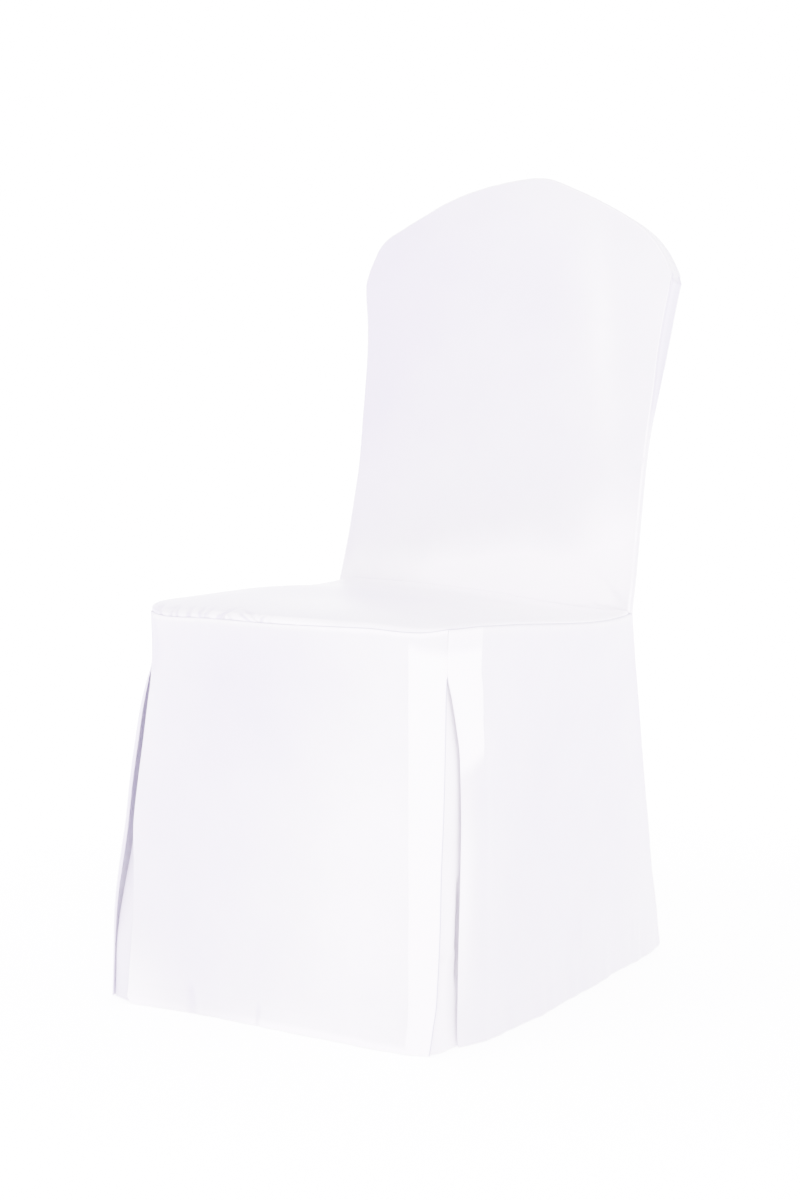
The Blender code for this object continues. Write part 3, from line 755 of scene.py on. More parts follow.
def inside_back_form():
    """The inside back panel, padded a little where the chair's upholstery fills it."""
    crown = back_crown_line()
    left = back_side_line(-1)
    right = back_side_line(1)
    u = parts_of(BACK_WIDTH, BACK_ACROSS)
    v = parts_of(CROWN_PEAK)
    foot_x = np.linspace(left[0, 0], right[0, 0], REAR_SEAM_POINTS)
    foot = np.column_stack([foot_x, rise_of(seam_height(REAR_SEAM, foot_x))])
    rim = np.concatenate([right[:, :2], crown[::-1, :2], left[::-1, :2]])
    sides = (along(left[:, :2], v), along(right[:, :2], v))
    plan = spanned(along(foot, u), along(crown[:, :2], u), *sides, u, v)
    to_rim = distance_to(plan, rim)
    to_foot = distance_to(plan, foot)
    inward = nearest(to_rim, to_foot)
    pad = 1.0 - (1.0 - np.clip(to_rim / BACK_PAD_REACH, 0.0, 1.0)) ** BACK_PAD_ROUND
    relief = BACK_PAD * pad * past(to_foot, BACK_PAD_BAND)
    hollow = past(to_foot, BACK_HOLLOW_IN) * (1.0 - past(to_foot, BACK_HOLLOW_OUT))
    relief -= BACK_HOLLOW * hollow * pad
    relief += fold_relief(BACK_FOLDS, plan[..., 0], plan[..., 1]) * pad
    grid = on_back(plan[..., 0], plan[..., 1], -relief)
    cut = cut_of(grid)
    detail = rolled(to_rim, BACK_RIM_ROLL) + rolled(to_foot, BACK_FOOT_ROLL) + tucked(inward)
    detail += puckers(cut.left, to_foot, small_puckers(BACK_FOOT_RUN))
    detail += puckers(cut.right, to_foot, CORNER_WRINKLES)
    detail += puckers(cut.bottom, to_rim, small_puckers(BACK_SIDE_RUN))
    detail += creases(cut.right, cut.bottom, BACK_CREASES)
    detail += uneven(grid, BACK_WAVES) * smooth(inward / PANEL_HELD)
    return pull_in(raised(grid, detail))


def gusset_form():
    """The boxing strip over the back's edge, with a seam ridge along both sides."""
    left = back_side_line(-1)
    crown = back_crown_line()
    right = back_side_line(1)[::-1]
    line = np.concatenate([left[:-1], crown, right[1:]])
    u = parts_of(lengths(line[:, :2])[-1], GUSSET_ALONG)
    edge = along(line, u)
    front = on_back(edge[:, 0], edge[:, 1], 0.0 * edge[:, 2])
    rear = on_back(edge[:, 0], edge[:, 1], edge[:, 2])
    grid = front[None] + np.array(GUSSET_ROWS)[:, None, None] * (rear - front)[None]
    cut = cut_of(grid)
    seam = nearest(cut.bottom, cut.top)
    shoulder = np.abs(cut.left - SHOULDER_SEAM)
    width = cut.bottom + cut.top
    relief = rolled(seam, GUSSET_ROLL) * past(width, GUSSET_ROLL_BAND)
    relief += tucked(seam, GUSSET_TUCK) * past(width, GUSSET_TUCK_BAND)
    relief += puckers(cut.left, cut.bottom, small_puckers(GUSSET_RUN))
    relief += tucked(shoulder, SHOULDER_TUCK) + rolled(shoulder, SHOULDER_ROLL)
    return pull_in(raised(grid, relief))


def rear_panel_form():
    """The outside back: from the crown to the floor in one piece, hanging a little full."""
    lower_left = rear_corner_line(1)
    lower_right = rear_corner_line(-1)
    left = np.concatenate([lower_left[:-1], on_back(*back_side_line(1).T)])
    right = np.concatenate([lower_right[:-1], on_back(*back_side_line(-1).T)])
    top = on_back(*back_crown_line()[::-1].T)
    hem_x = np.linspace(REAR_HEM_HALF, -REAR_HEM_HALF, REAR_HEM_POINTS)
    bow = REAR_HEM_BOW * (1.0 - (hem_x / REAR_HEM_HALF) ** 2)
    hem = np.stack([hem_x, REAR_HEM_Y + bow, np.full_like(hem_x, HEM_LIFT)], axis=1)
    u = parts_of(2 * REAR_HEM_HALF)
    v = parts_of(lengths(left)[-1], lines=[HEM_DEPTH])
    grid = spanned(along(hem, u), along(top, u), along(left, v), along(right, v), u, v)
    swell_line = curve_through(REAR_SWELL)
    swell = np.interp(grid[..., 2], swell_line[:, 0], swell_line[:, 1])
    full = 1.0 - (2.0 * u[None, :] - 1.0) ** 2
    folds = fold_relief(REAR_FOLDS, grid[..., 0], grid[..., 2]) * edge_fade(u, v)
    grid[..., 1] += swell * full + folds
    cut = cut_of(grid)
    sides = nearest(cut.left, cut.right)
    seam = nearest(sides, cut.top)
    relief = rolled(seam) + tucked(seam)
    relief += puckers(cut.bottom, sides, small_puckers(REAR_SIDE_RUN))
    relief += hem_relief(cut, REAR_HEM_SEED)
    relief += uneven(grid, REAR_WAVES) * smooth(seam / PANEL_HELD)
    return pull_in(raised(grid, relief), bottom=0.0)


def hem_relief(cut, seed):
    """A turned-up hem, stitched blind: its edge hangs in small waves."""
    phases = np.random.default_rng(seed).uniform(0.0, WAVE_PHASE, len(HEM_WAVES))
    waves = sum(np.sin(cut.left * 2 * math.pi / size + phase)
                for size, phase in zip(HEM_WAVES, phases))
    return HEM_WAVE_DEPTH * waves * (1.0 - smooth(cut.bottom / HEM_WAVE_REACH))


def skirt_form(seam, hem, left, right, folds, outward):
    """A skirt panel between its seat seam, its hem and its two upright edges."""
    hem = curve_through([(place.x, place.y, HEM_LIFT) for place in hem])
    u = parts_of(lengths(hem)[-1], SKIRT_ACROSS)
    v = parts_of(SKIRT_HEIGHT, lines=[HEM_DEPTH])
    grid = spanned(along(hem, u), along(seam, u), along(left, v), along(right, v), u, v)
    fade = edge_fade(u, v)
    reach = along(seam, u)[None, :, :2] - along(hem, u)[None, :, :2]
    inner = smooth(np.minimum(u, 1.0 - u) / EDGE_MARGIN)
    lag = SKIRT_LAG * np.sin(math.pi * v)[:, None] * inner[None, :]
    grid[..., :2] += lag[..., None] * reach
    across = grid[..., 0] if outward[1] else grid[..., 1]
    relief = fold_relief(folds, across, grid[..., 2]) * fade
    grid[..., :2] += relief[..., None] * np.array(outward)
    return grid


def front_skirt_form():
    """The front skirt, between the two corner slits."""
    edges = (slit_line(-1, "front"), slit_line(1, "front"), FRONT_FOLDS, (0.0, -1.0))
    return skirt_form(front_seam_line(), FRONT_HEM, *edges)


def side_skirt_form(side):
    """A side skirt, which runs back under the foot of the gusset to the outside back."""
    foot = back_side_line(side)[0]
    rear_foot = on_back(foot[0], foot[1], foot[2])
    seam = np.concatenate([side_seam_line(side), [rear_foot]])
    slit = slit_line(side, "side")
    rear = rear_corner_line(side)
    if side > 0:
        return skirt_form(seam, RIGHT_HEM, slit, rear, SIDE_FOLDS, (1.0, 0.0))
    return skirt_form(seam[::-1], LEFT_HEM[::-1], rear, slit, SIDE_FOLDS, (-1.0, 0.0))


def wrapped(grid, front_edge):
    """The left side skirt, whose slit edge curls round the corner toward the front panel."""
    edge = grid[:, -1]
    toward = front_edge - edge + np.array(WRAP_SHIFT)
    span = np.linalg.norm(toward, axis=1, keepdims=True)
    reach = np.maximum(span * np.interp(edge[:, 2:], *WRAP), WRAP_LEAST)
    toward /= span
    side = np.column_stack([toward[:, 1], -toward[:, 0], 0.0 * toward[:, 0]])
    columns = [edge + reach * (toward * part + side * WRAP_BULGE * math.sin(math.pi * part))
               for part in np.linspace(0.0, 1.0, WRAP_COLUMNS)[1:]]
    return np.concatenate([grid, np.stack(columns, axis=1)], axis=1)


HEM_CREASES = (
    Crease(0.097, 0.000, 0.088, 0.036, 0.0045, -0.0020),
    Crease(0.129, 0.006, 0.128, 0.058, 0.0030, -0.0008),
    Crease(0.160, 0.008, 0.159, 0.050, 0.0028, -0.0008),
    Crease(0.188, 0.000, 0.187, 0.026, 0.0026, -0.0018),
    Crease(0.275, 0.008, 0.274, 0.056, 0.0032, -0.0008),
)
SIDE_CREASES = (
    Crease(0.275, 0.050, 0.274, 0.092, 0.0035, 0.0009),
    Crease(0.433, 0.020, 0.430, 0.060, 0.0035, 0.0009),
    Crease(0.448, 0.010, 0.446, 0.050, 0.0030, 0.0008),
)


def skirt_detail(grid, slits, seams, small_creases, seed):
    """A skirt panel's seat seam, side seams, stitched slit tops, hem and small creases."""
    cut = cut_of(grid)
    relief = tucked(cut.top, SKIRT_TOP_TUCK) + rolled(cut.top, SKIRT_TOP_ROLL)
    relief += puckers(cut.left, cut.top, small_puckers(SKIRT_TOP_RUN, seed))
    for slit in slits:
        relief += rolled(getattr(cut, slit), SLIT_ROLL)
    for seam in seams:
        edge = getattr(cut, seam)
        relief += tucked(edge) + rolled(edge)
        relief += puckers(cut.bottom, edge, small_puckers(SKIRT_SIDE_RUN, seed))
    relief += hem_relief(cut, seed + 2)
    relief += creases(cut.left, cut.bottom, small_creases)
    relief += uneven(grid, SKIRT_WAVES, seed) * smooth(cut.top / SKIRT_HELD)
    return pull_in(raised(grid, relief), bottom=0.0)


def rounded_hem(grid, edges):
    """A panel with the corners of its hem turned round at the edges named."""
    cut = cut_of(grid)
    for edge in edges:
        lift = HEM_ROUND * (1.0 - smooth(getattr(cut, edge) / HEM_ROUND))
        grid[..., 2] += lift * (1.0 - smooth(cut.bottom / HEM_ROUND_HEIGHT))
    return grid


def underlay_form(side, front_grid, flank_grid):
    """The loose panel behind a corner slit, which follows the skirt panels on both sides."""
    inward = np.array([-side, 1.0, 0.0]) * math.sqrt(0.5)
    back = np.array([0.0, 1.0, 0.0])
    across = np.array([-side, 0.0, 0.0])
    rows = []
    for front, flank in zip(front_grid, flank_grid):
        front = front[::-1] if side > 0 else front
        flank = flank if side > 0 else flank[::-1]
        if side > 0:
            up = smooth(flank[0, 2] / UNDERLAY_HEM_REACH)
            low, high = UNDERLAY_BEHIND_SIDE_HEM, UNDERLAY_BEHIND_RIGHT_EDGE
        else:
            up = smooth((flank[0, 2] - UNDERLAY_LEFT_HEM) / UNDERLAY_HEM_REACH)
            low, high = UNDERLAY_BEHIND_LEFT_HEM, UNDERLAY_BEHIND_LEFT_EDGE
        behind = low + (high - low) * up
        off_middle = abs(flank[0, 2] - UNDERLAY_FREE_AT) / UNDERLAY_FREE_HALF
        free = UNDERLAY_FREE * smooth(UNDERLAY_FREE_FADE * (1.0 - off_middle)) if side > 0 else 0.0
        across_slit = front[0] - flank[0]
        width = max(np.linalg.norm(across_slit), TINY_SLIT)
        short = min(UNDERLAY_FREE_WIDTH, UNDERLAY_FREE_SHARE * width)
        front_part = UNDERLAY_REACH / lengths(front)[-1]
        flank_part = UNDERLAY_REACH / lengths(flank)[-1]
        line = [
            along(front, [front_part])[0] + UNDERLAY_BEHIND_FRONT * back,
            along(front, [front_part / 2])[0] + UNDERLAY_BEHIND_FRONT * back,
            front[0] + UNDERLAY_BEHIND_FRONT_EDGE * inward,
            flank[0] + behind * inward + across_slit / width * short,
            flank[0] + (behind + free) * inward,
            along(flank, [flank_part / 2])[0] + UNDERLAY_BEHIND_SIDE * across,
            along(flank, [flank_part])[0] + UNDERLAY_BEHIND_SIDE * across,
        ]
        bend = curve_through(line, fine=UNDERLAY_BEND_POINTS)
        rows.append(along(bend, np.linspace(0.0, 1.0, UNDERLAY_COLUMNS)))
    grid = np.array(rows)
    grid[..., 2] -= UNDERLAY_TOP_DROP * grid[..., 2] / grid[..., 2].max()
    grid = grid if side > 0 else grid[:, ::-1]
    cut = cut_of(grid)
    relief = hem_relief(cut, UNDERLAY_HEM_SEED + side) + uneven(grid, UNDERLAY_WAVES, side)
    return raised(grid, relief)


# Tone, facings and seam lines of each panel: painted light and shade, the whiteness of doubled cloth
# with painted sheen, and painted seam shadows

# The width of a turned-back facing, by its height
FACING_FRONT = (
    (0.0, 0.06, 0.12, 0.19, 0.25, 0.32, 0.44),
    (0.027, 0.033, 0.036, 0.037, 0.040, 0.042, 0.045),
)
FACING_SIDE = (
    (0.0, 0.12, 0.25, 0.30, 0.355, 0.40, 0.445),
    (0.030, 0.030, 0.030, 0.031, 0.038, 0.051, 0.053),
)

# Painted highlights and painted shade in broad places, from a panel's left edge and its foot
Patch = namedtuple("Patch", "x y wide high tone")
SEAT_PATCHES = (
    Patch(0.280, 0.450, 0.300, 0.045, 0.90),
    Patch(0.340, 0.330, 0.150, 0.110, 0.50),
    Patch(0.400, 0.180, 0.060, 0.120, 0.20),
    Patch(0.120, 0.150, 0.200, 0.200, -1.00),
    Patch(0.012, 0.012, 0.018, 0.030, -1.00),
)
BACK_PATCHES = (
    Patch(0.000, 0.330, 0.115, 0.240, -0.95),
    Patch(0.180, 0.280, 0.230, 0.260, -0.48),
    Patch(0.130, 0.460, 0.170, 0.130, -0.40),
    Patch(0.300, 0.400, 0.080, 0.100, -0.20),
    Patch(0.390, 0.350, 0.028, 0.120, 0.50),
    Patch(0.405, 0.090, 0.055, 0.068, 0.85),
    Patch(0.150, 0.020, 0.130, 0.030, 0.85),
    Patch(0.300, 0.030, 0.130, 0.055, 1.50),
    Patch(0.120, 0.120, 0.120, 0.080, 0.15),
)
FRONT_PATCHES = (
    Patch(0.070, 0.200, 0.150, 0.280, -0.62),
    Patch(0.180, 0.390, 0.130, 0.130, -0.40),
    Patch(0.200, 0.425, 0.060, 0.025, -0.10),
    Patch(0.335, 0.190, 0.095, 0.230, 0.45),
    Patch(0.240, 0.040, 0.090, 0.100, 0.10),
    Patch(0.000, 0.020, 0.050, 0.055, 0.80),
    Patch(0.170, 0.000, 0.200, 0.030, 0.35),
    Patch(0.160, 0.370, 0.100, 0.070, -0.15),
    Patch(0.004, 0.425, 0.015, 0.034, -1.60),
)
RIGHT_PATCHES = (
    Patch(0.270, 0.280, 0.340, 0.360, -0.75),
    Patch(0.000, 0.180, 0.020, 0.130, 1.15),
    Patch(0.160, 0.260, 0.030, 0.090, -0.20),
    Patch(0.420, 0.050, 0.060, 0.050, 0.20),
)
# Painted shade along creases of the back and of the front skirt's hem, as lines in a panel's own
# cloth whose depth is a tone
BACK_SHADES = (
    Crease(0.055, 0.052, 0.006, 0.006, 0.0045, -0.45),
    Crease(0.060, 0.010, 0.004, 0.004, 0.0016, -0.60),
    Crease(0.120, 0.0050, 0.050, 0.0060, 0.0012, -0.50),
)
HEM_SHADES = (
    Crease(0.097, -0.012, 0.088, 0.036, 0.0055, -0.60),
    Crease(0.188, -0.006, 0.187, 0.028, 0.0024, -0.80),
)

# What a point has where no facing and no seam is near
NO_FACING = -0.05
NO_SEAM = 0.05

# The seat's rolled front edge: a painted highlight along it, with painted shade in its puckers'
# creases
ROLL_TONE = 1.35
ROLL_BAND = Band(0.0, 0.0014)
ROLL_FADE = 0.0035
ROLL_REACH = ((0.10, 0.20, 0.42), (0.0115, 0.0105, 0.0050))
ROLL_LIGHT = (
    (0.0, 0.018, 0.036, 0.150, 0.250, 0.300, 0.450),
    (0.0, 0.0, 0.4, 0.8, 0.8, 0.4, 0.2),
)
DRAWN_DEPTH = 0.0024
DRAWN_TONE = 1.8

# Painted highlights: the light rims beside seams, the light edges of the gusset and a stitched slit,
# and the lips of the skirts
RIM_TONE = 1.30
RIM_RISE = Band(0.0, 0.0008)
RIM_FALL = Band(0.0026, 0.0020)
EDGE_TONE = 0.60
EDGE_FALL = Band(0.0010, 0.0012)
LIP_RISE = Band(0.0, 0.0012)
LIP_START = 0.0015
FRONT_LIP = (0.0075, 0.95)
SIDE_LIP = (0.012, 0.50)

# The gusset's painted shade, deeper below the shoulder seam and at its rear edge, where part of the
# painted seam shadow spreads over it
GUSSET_WIDE = Band(0.010, 0.008)
GUSSET_LOW = Band(SHOULDER_SEAM - GUSSET_MIDDLE, 0.005)
GUSSET_SHADE = Band(0.010, 0.006)
GUSSET_TONE = -0.20
GUSSET_LOW_TONE = -0.90
GUSSET_SHADE_LINE = 0.28

# The front skirt's facing, whose white fades out at its top as painted shade, and the painted light
# along its hem
FACING_EDGE_FADE = 0.003
FACING_TOP_DROP = 0.006
FACING_TOP_SLANT = 0.28
FACING_TOP_REACH = 0.045
FACING_TOP_FADE = 0.018
HEM_LIGHT = 0.30
HEM_LIGHT_RIGHT = 0.40
HEM_LIGHT_BAND = Band(0.15, 0.05)
HEM_LIGHT_FALL = Band(0.003, 0.008)

# The right skirt's facing, which shows white down to a slanted end: doubled cloth, with a painted
# sheen that fades out below and is fainter near the top
SIDE_FACING_FOOT = Band(0.284, 0.024)
SIDE_FACING_SLANT = 0.6
SIDE_FACING_TOP = Band(0.020, 0.012)
SIDE_FACING_LEAST = 0.55

# The outside back is evenly deeper; the left skirt is deepened as painted shade; the right underlay
# is lightened as painted light and the left one deepened as painted shade
REAR_TONE = -0.50
LEFT_TONE = -0.80
RIGHT_LAY_TONE = 0.45
LEFT_LAY_TONE = -0.60

# Seam lines, a painted shadow in each seam's groove and at the slits' cut edges: how wide one is
# drawn and the share of it that is darkest. An inset makes a line fainter, and a share below 1 of
# the distance makes it broader.
SEAM_LINE = 0.0009
SEAM_LINE_CORE = 0.35
RIM_INSET = 0.0005
GUSSET_INSET = 0.0006
STITCH_LINE_INSET = 0.0010
BACK_FOOT_SHARE = 0.60
FRONT_TOP_SHARE = 0.60
FRONT_LEFT_SHARE = 0.65
FRONT_RIGHT_SHARE = 0.50
RIGHT_TOP_SHARE = 0.45


def patches(x, y, rows):
    """Broad painted highlights and painted shade on a panel, each a soft oval in its own cloth."""
    tone = np.zeros_like(x)
    for row in rows:
        tone += row.tone * np.exp(-(((x - row.x) / row.wide) ** 2) - ((y - row.y) / row.high) ** 2)
    return tone


def facing_of(cut, side, width):
    """How far each point lies inside the hem or a turned-back facing, outside below 0."""
    reach = np.interp(cut.bottom, *width)
    return np.maximum(HEM_DEPTH - cut.bottom, reach - getattr(cut, side))


def lip(cut, depth, tone):
    """A painted highlight along the top of a skirt panel, which turns out from under the seat's
    seam.
    """
    return tone * past(cut.top, LIP_RISE) * (1.0 - past(cut.top, Band(LIP_START, depth)))


def marks_on(cut, tone, seam, facing=NO_FACING, double_and_sheen=0.0):
    """What the satin needs to know at each point of a panel: its tone, which carries painted light
    and shade, how far it is from a sewn seam, where a painted shadow line is drawn, how far inside a
    facing or the hem it lies, and how white it is there as doubled cloth with painted sheen."""
    plain = np.zeros_like(cut.left)
    return {
        "facing": plain + facing,
        "double_and_sheen": plain + double_and_sheen,
        "tone": plain + tone,
        "seam": plain + seam,
    }


def seat_marks(cut):
    """The seat: a painted highlight on its rolled front edge between its puckers, painted shade in
    their creases, broad painted light and shade, and painted seam shadows all round.
    """
    reach = Band(np.interp(cut.left, *ROLL_REACH), ROLL_FADE)
    roll = ROLL_TONE * past(cut.bottom, ROLL_BAND) * (1.0 - past(cut.bottom, reach))
    drawn = -puckers(cut.left, cut.bottom, FRONT_ROLL_PUCKERS) / DRAWN_DEPTH
    roll *= np.interp(cut.left, *ROLL_LIGHT) * (1.0 - DRAWN_TONE * np.clip(drawn, 0.0, 1.0))
    return marks_on(cut, patches(cut.left, cut.bottom, SEAT_PATCHES) + roll, nearest(*cut))


def back_marks(cut):
    """The inside back, with a painted highlight as a light rim where it turns over the chair's edge,
    broad painted light and shade, and painted shade along creases.
    """
    rim = nearest(cut.left, cut.right, cut.top)
    tone = patches(cut.left, cut.bottom, BACK_PATCHES)
    tone += creases(cut.right, cut.bottom, BACK_SHADES)
    tone += RIM_TONE * past(rim, RIM_RISE) * (1.0 - past(rim, RIM_FALL))
    return marks_on(cut, tone, nearest(rim + RIM_INSET, BACK_FOOT_SHARE * cut.bottom))


def gusset_marks(cut):
    """The boxing strip, with a painted highlight along its front edge, painted shade that is deeper
    below the shoulder seam, and a seam at the shoulder.
    """
    wide = past(cut.bottom + cut.top, GUSSET_WIDE)
    low = past(np.abs(cut.left - GUSSET_MIDDLE), GUSSET_LOW)
    tone = (GUSSET_TONE + GUSSET_LOW_TONE * low) * wide
    tone += EDGE_TONE * (1.0 - past(cut.bottom, EDGE_FALL))
    # Below the shoulders part of the painted seam shadow spreads over the gusset as painted shade
    shade = GUSSET_SHADE_LINE * low * wide * past(cut.bottom, GUSSET_SHADE)
    shoulder = np.abs(cut.left - SHOULDER_SEAM)
    seam = nearest(cut.bottom + GUSSET_INSET, cut.top, shoulder, SEAM_LINE * (1.0 - shade))
    return marks_on(cut, tone, seam)


def rear_marks(cut):
    """The outside back with its hem."""
    seam = nearest(cut.left, cut.right, cut.top)
    return marks_on(cut, REAR_TONE, seam, HEM_DEPTH - cut.bottom)


def front_marks(cut):
    """The front skirt, whose facing at the right slit shows whiter as doubled cloth with a painted
    sheen, and whose hem takes painted light; with broad painted light and shade, painted shade along
    its hem creases and painted shadow lines at its seams and slit edges.
    """
    reach = np.interp(cut.bottom, *FACING_FRONT)
    double_and_sheen = smooth((reach + FACING_EDGE_FADE - cut.right) / FACING_EDGE_FADE)
    top = cut.top - FACING_TOP_DROP - FACING_TOP_SLANT * (FACING_TOP_REACH - cut.right)
    double_and_sheen *= smooth(top / FACING_TOP_FADE)
    tone = patches(cut.left, cut.bottom, FRONT_PATCHES) + lip(cut, *FRONT_LIP)
    low_light = HEM_LIGHT + HEM_LIGHT_RIGHT * past(cut.left, HEM_LIGHT_BAND)
    tone += low_light * (1.0 - past(cut.bottom, HEM_LIGHT_FALL))
    tone += creases(cut.left, cut.bottom, HEM_SHADES)
    slits = nearest(FRONT_LEFT_SHARE * cut.left, FRONT_RIGHT_SHARE * cut.right)
    slits += STITCH_LINE_INSET * (cut.top < STITCHED_SLIT)
    seam = nearest(FRONT_TOP_SHARE * cut.top, slits)
    return marks_on(cut, tone, seam, facing_of(cut, "right", FACING_FRONT), double_and_sheen)


def right_marks(cut):
    """The right skirt, whose facing shows white beside the upper part of the slit as doubled cloth
    with a painted sheen; with painted highlights along its lip and its stitched slit edge, broad
    painted light and shade, and painted seam shadows.
    """
    sewn = cut.top < STITCHED_SLIT
    double_and_sheen = past(cut.bottom - SIDE_FACING_SLANT * cut.left, SIDE_FACING_FOOT)
    below_top = past(cut.top, SIDE_FACING_TOP)
    double_and_sheen *= SIDE_FACING_LEAST + (1.0 - SIDE_FACING_LEAST) * below_top
    tone = patches(cut.left, cut.bottom, RIGHT_PATCHES) + lip(cut, *SIDE_LIP)
    tone += EDGE_TONE * sewn * (1.0 - past(cut.left, EDGE_FALL))
    slit = cut.left + np.where(sewn, STITCH_LINE_INSET, NO_SEAM)
    seam = nearest(RIGHT_TOP_SHARE * cut.top, cut.right, slit)
    return marks_on(cut, tone, seam, facing_of(cut, "left", FACING_SIDE), double_and_sheen)


def left_marks(cut):
    """The left skirt, of which only the curled slit edge shows from the front, deepened all over as
    painted shade, with a painted highlight on its lip and painted seam shadows.
    """
    slit = cut.right + np.where(cut.top < STITCHED_SLIT, STITCH_LINE_INSET, NO_SEAM)
    seam = nearest(cut.top, cut.left, slit)
    tone = lip(cut, *SIDE_LIP) + LEFT_TONE
    return marks_on(cut, tone, seam, facing_of(cut, "right", FACING_SIDE))


def right_lay_marks(cut):
    """The underlay behind the right slit, which the light reaches."""
    return marks_on(cut, RIGHT_LAY_TONE, NO_SEAM, HEM_DEPTH - cut.bottom)


def left_lay_marks(cut):
    """The underlay behind the left slit, which lies in the shade."""
    return marks_on(cut, LEFT_LAY_TONE, NO_SEAM, HEM_DEPTH - cut.bottom)


# Materials

def linear(hex_colour):
    """An sRGB hex colour as the linear values that a shader takes."""
    parts = [int(hex_colour[i:i + 2], 16) / 255 for i in (0, 2, 4)]
    turned = [p / 12.92 if p <= 0.04045 else ((p + 0.055) / 1.055) ** 2.4 for p in parts]
    return (*turned, 1.0)


def add_node(tree, kind, settings=None, inputs=None, output=0):
    """Adds a shader node with its options and its inputs, which are values or other nodes'
    sockets to link, and returns one of its outputs."""
    node = tree.nodes.new(kind)
    for key, value in (settings or {}).items():
        setattr(node, key, value)
    for key, value in (inputs or {}).items():
        if isinstance(value, bpy.types.NodeSocket):
            tree.links.new(value, node.inputs[key])
        else:
            node.inputs[key].default_value = value
    return node.outputs[output]


MATH = "ShaderNodeMath"
# Satin colours: the single cloth's own lilac white; a white for doubled cloth and for painted
# highlights; a deeper lilac for painted shade, the mottle's darker spots and evenly deeper panels;
# and a painted seam shadow
SATIN_SINGLE = "D3C8DC"
SATIN_DOUBLE_AND_HIGHLIGHT = "FAEEFF"
SATIN_DEEP = "B8A6CD"
PAINTED_SEAM_SHADOW = "9C90B6"
SATIN_SURFACE = {
    "Roughness": 0.32,
    "Metallic": 0.0,
    "Specular IOR Level": 0.60,
    "Sheen Weight": 0.15,
    "Sheen Roughness": 0.40,
    "Anisotropic": 0.20,
}

# The facing's edge is a step 0.7 mm wide, with a blind stitch every 3.5 mm inside it
FACING_EDGE = 1500.0
STITCH_INSET = 0.0020
STITCH_HALF = 0.00030
STITCH_PITCH = 0.0035
STITCH_SHARE = 0.72

# Patterns per metre: a mottle of about 70 mm, crumples of 18 mm, slubs 11 mm long and
# 0.7 mm wide. Real satin's diagonal repeats every 0.15 mm, and is drawn three times as
# coarse so that it can show. A Wave texture of scale 1 repeats every 2 pi / 20.
MOTTLE_SCALE = 14.0
MOTTLE_TONE = 0.25
CRUMPLE_SCALE = 55.0
SLUBS = (90.0, 1400.0, 1.0)
WEAVE_PITCH = 0.00045
WAVE_UNIT = 2 * math.pi / 20

# How deep each kind of relief in the cloth's face is
CRUMPLE_DEPTH = 0.00035
FACING_DEPTH = 0.00015
THREAD_DEPTH = 0.0002
SLUB_DEPTH = 0.00004
WEAVE_DEPTH = 0.00003


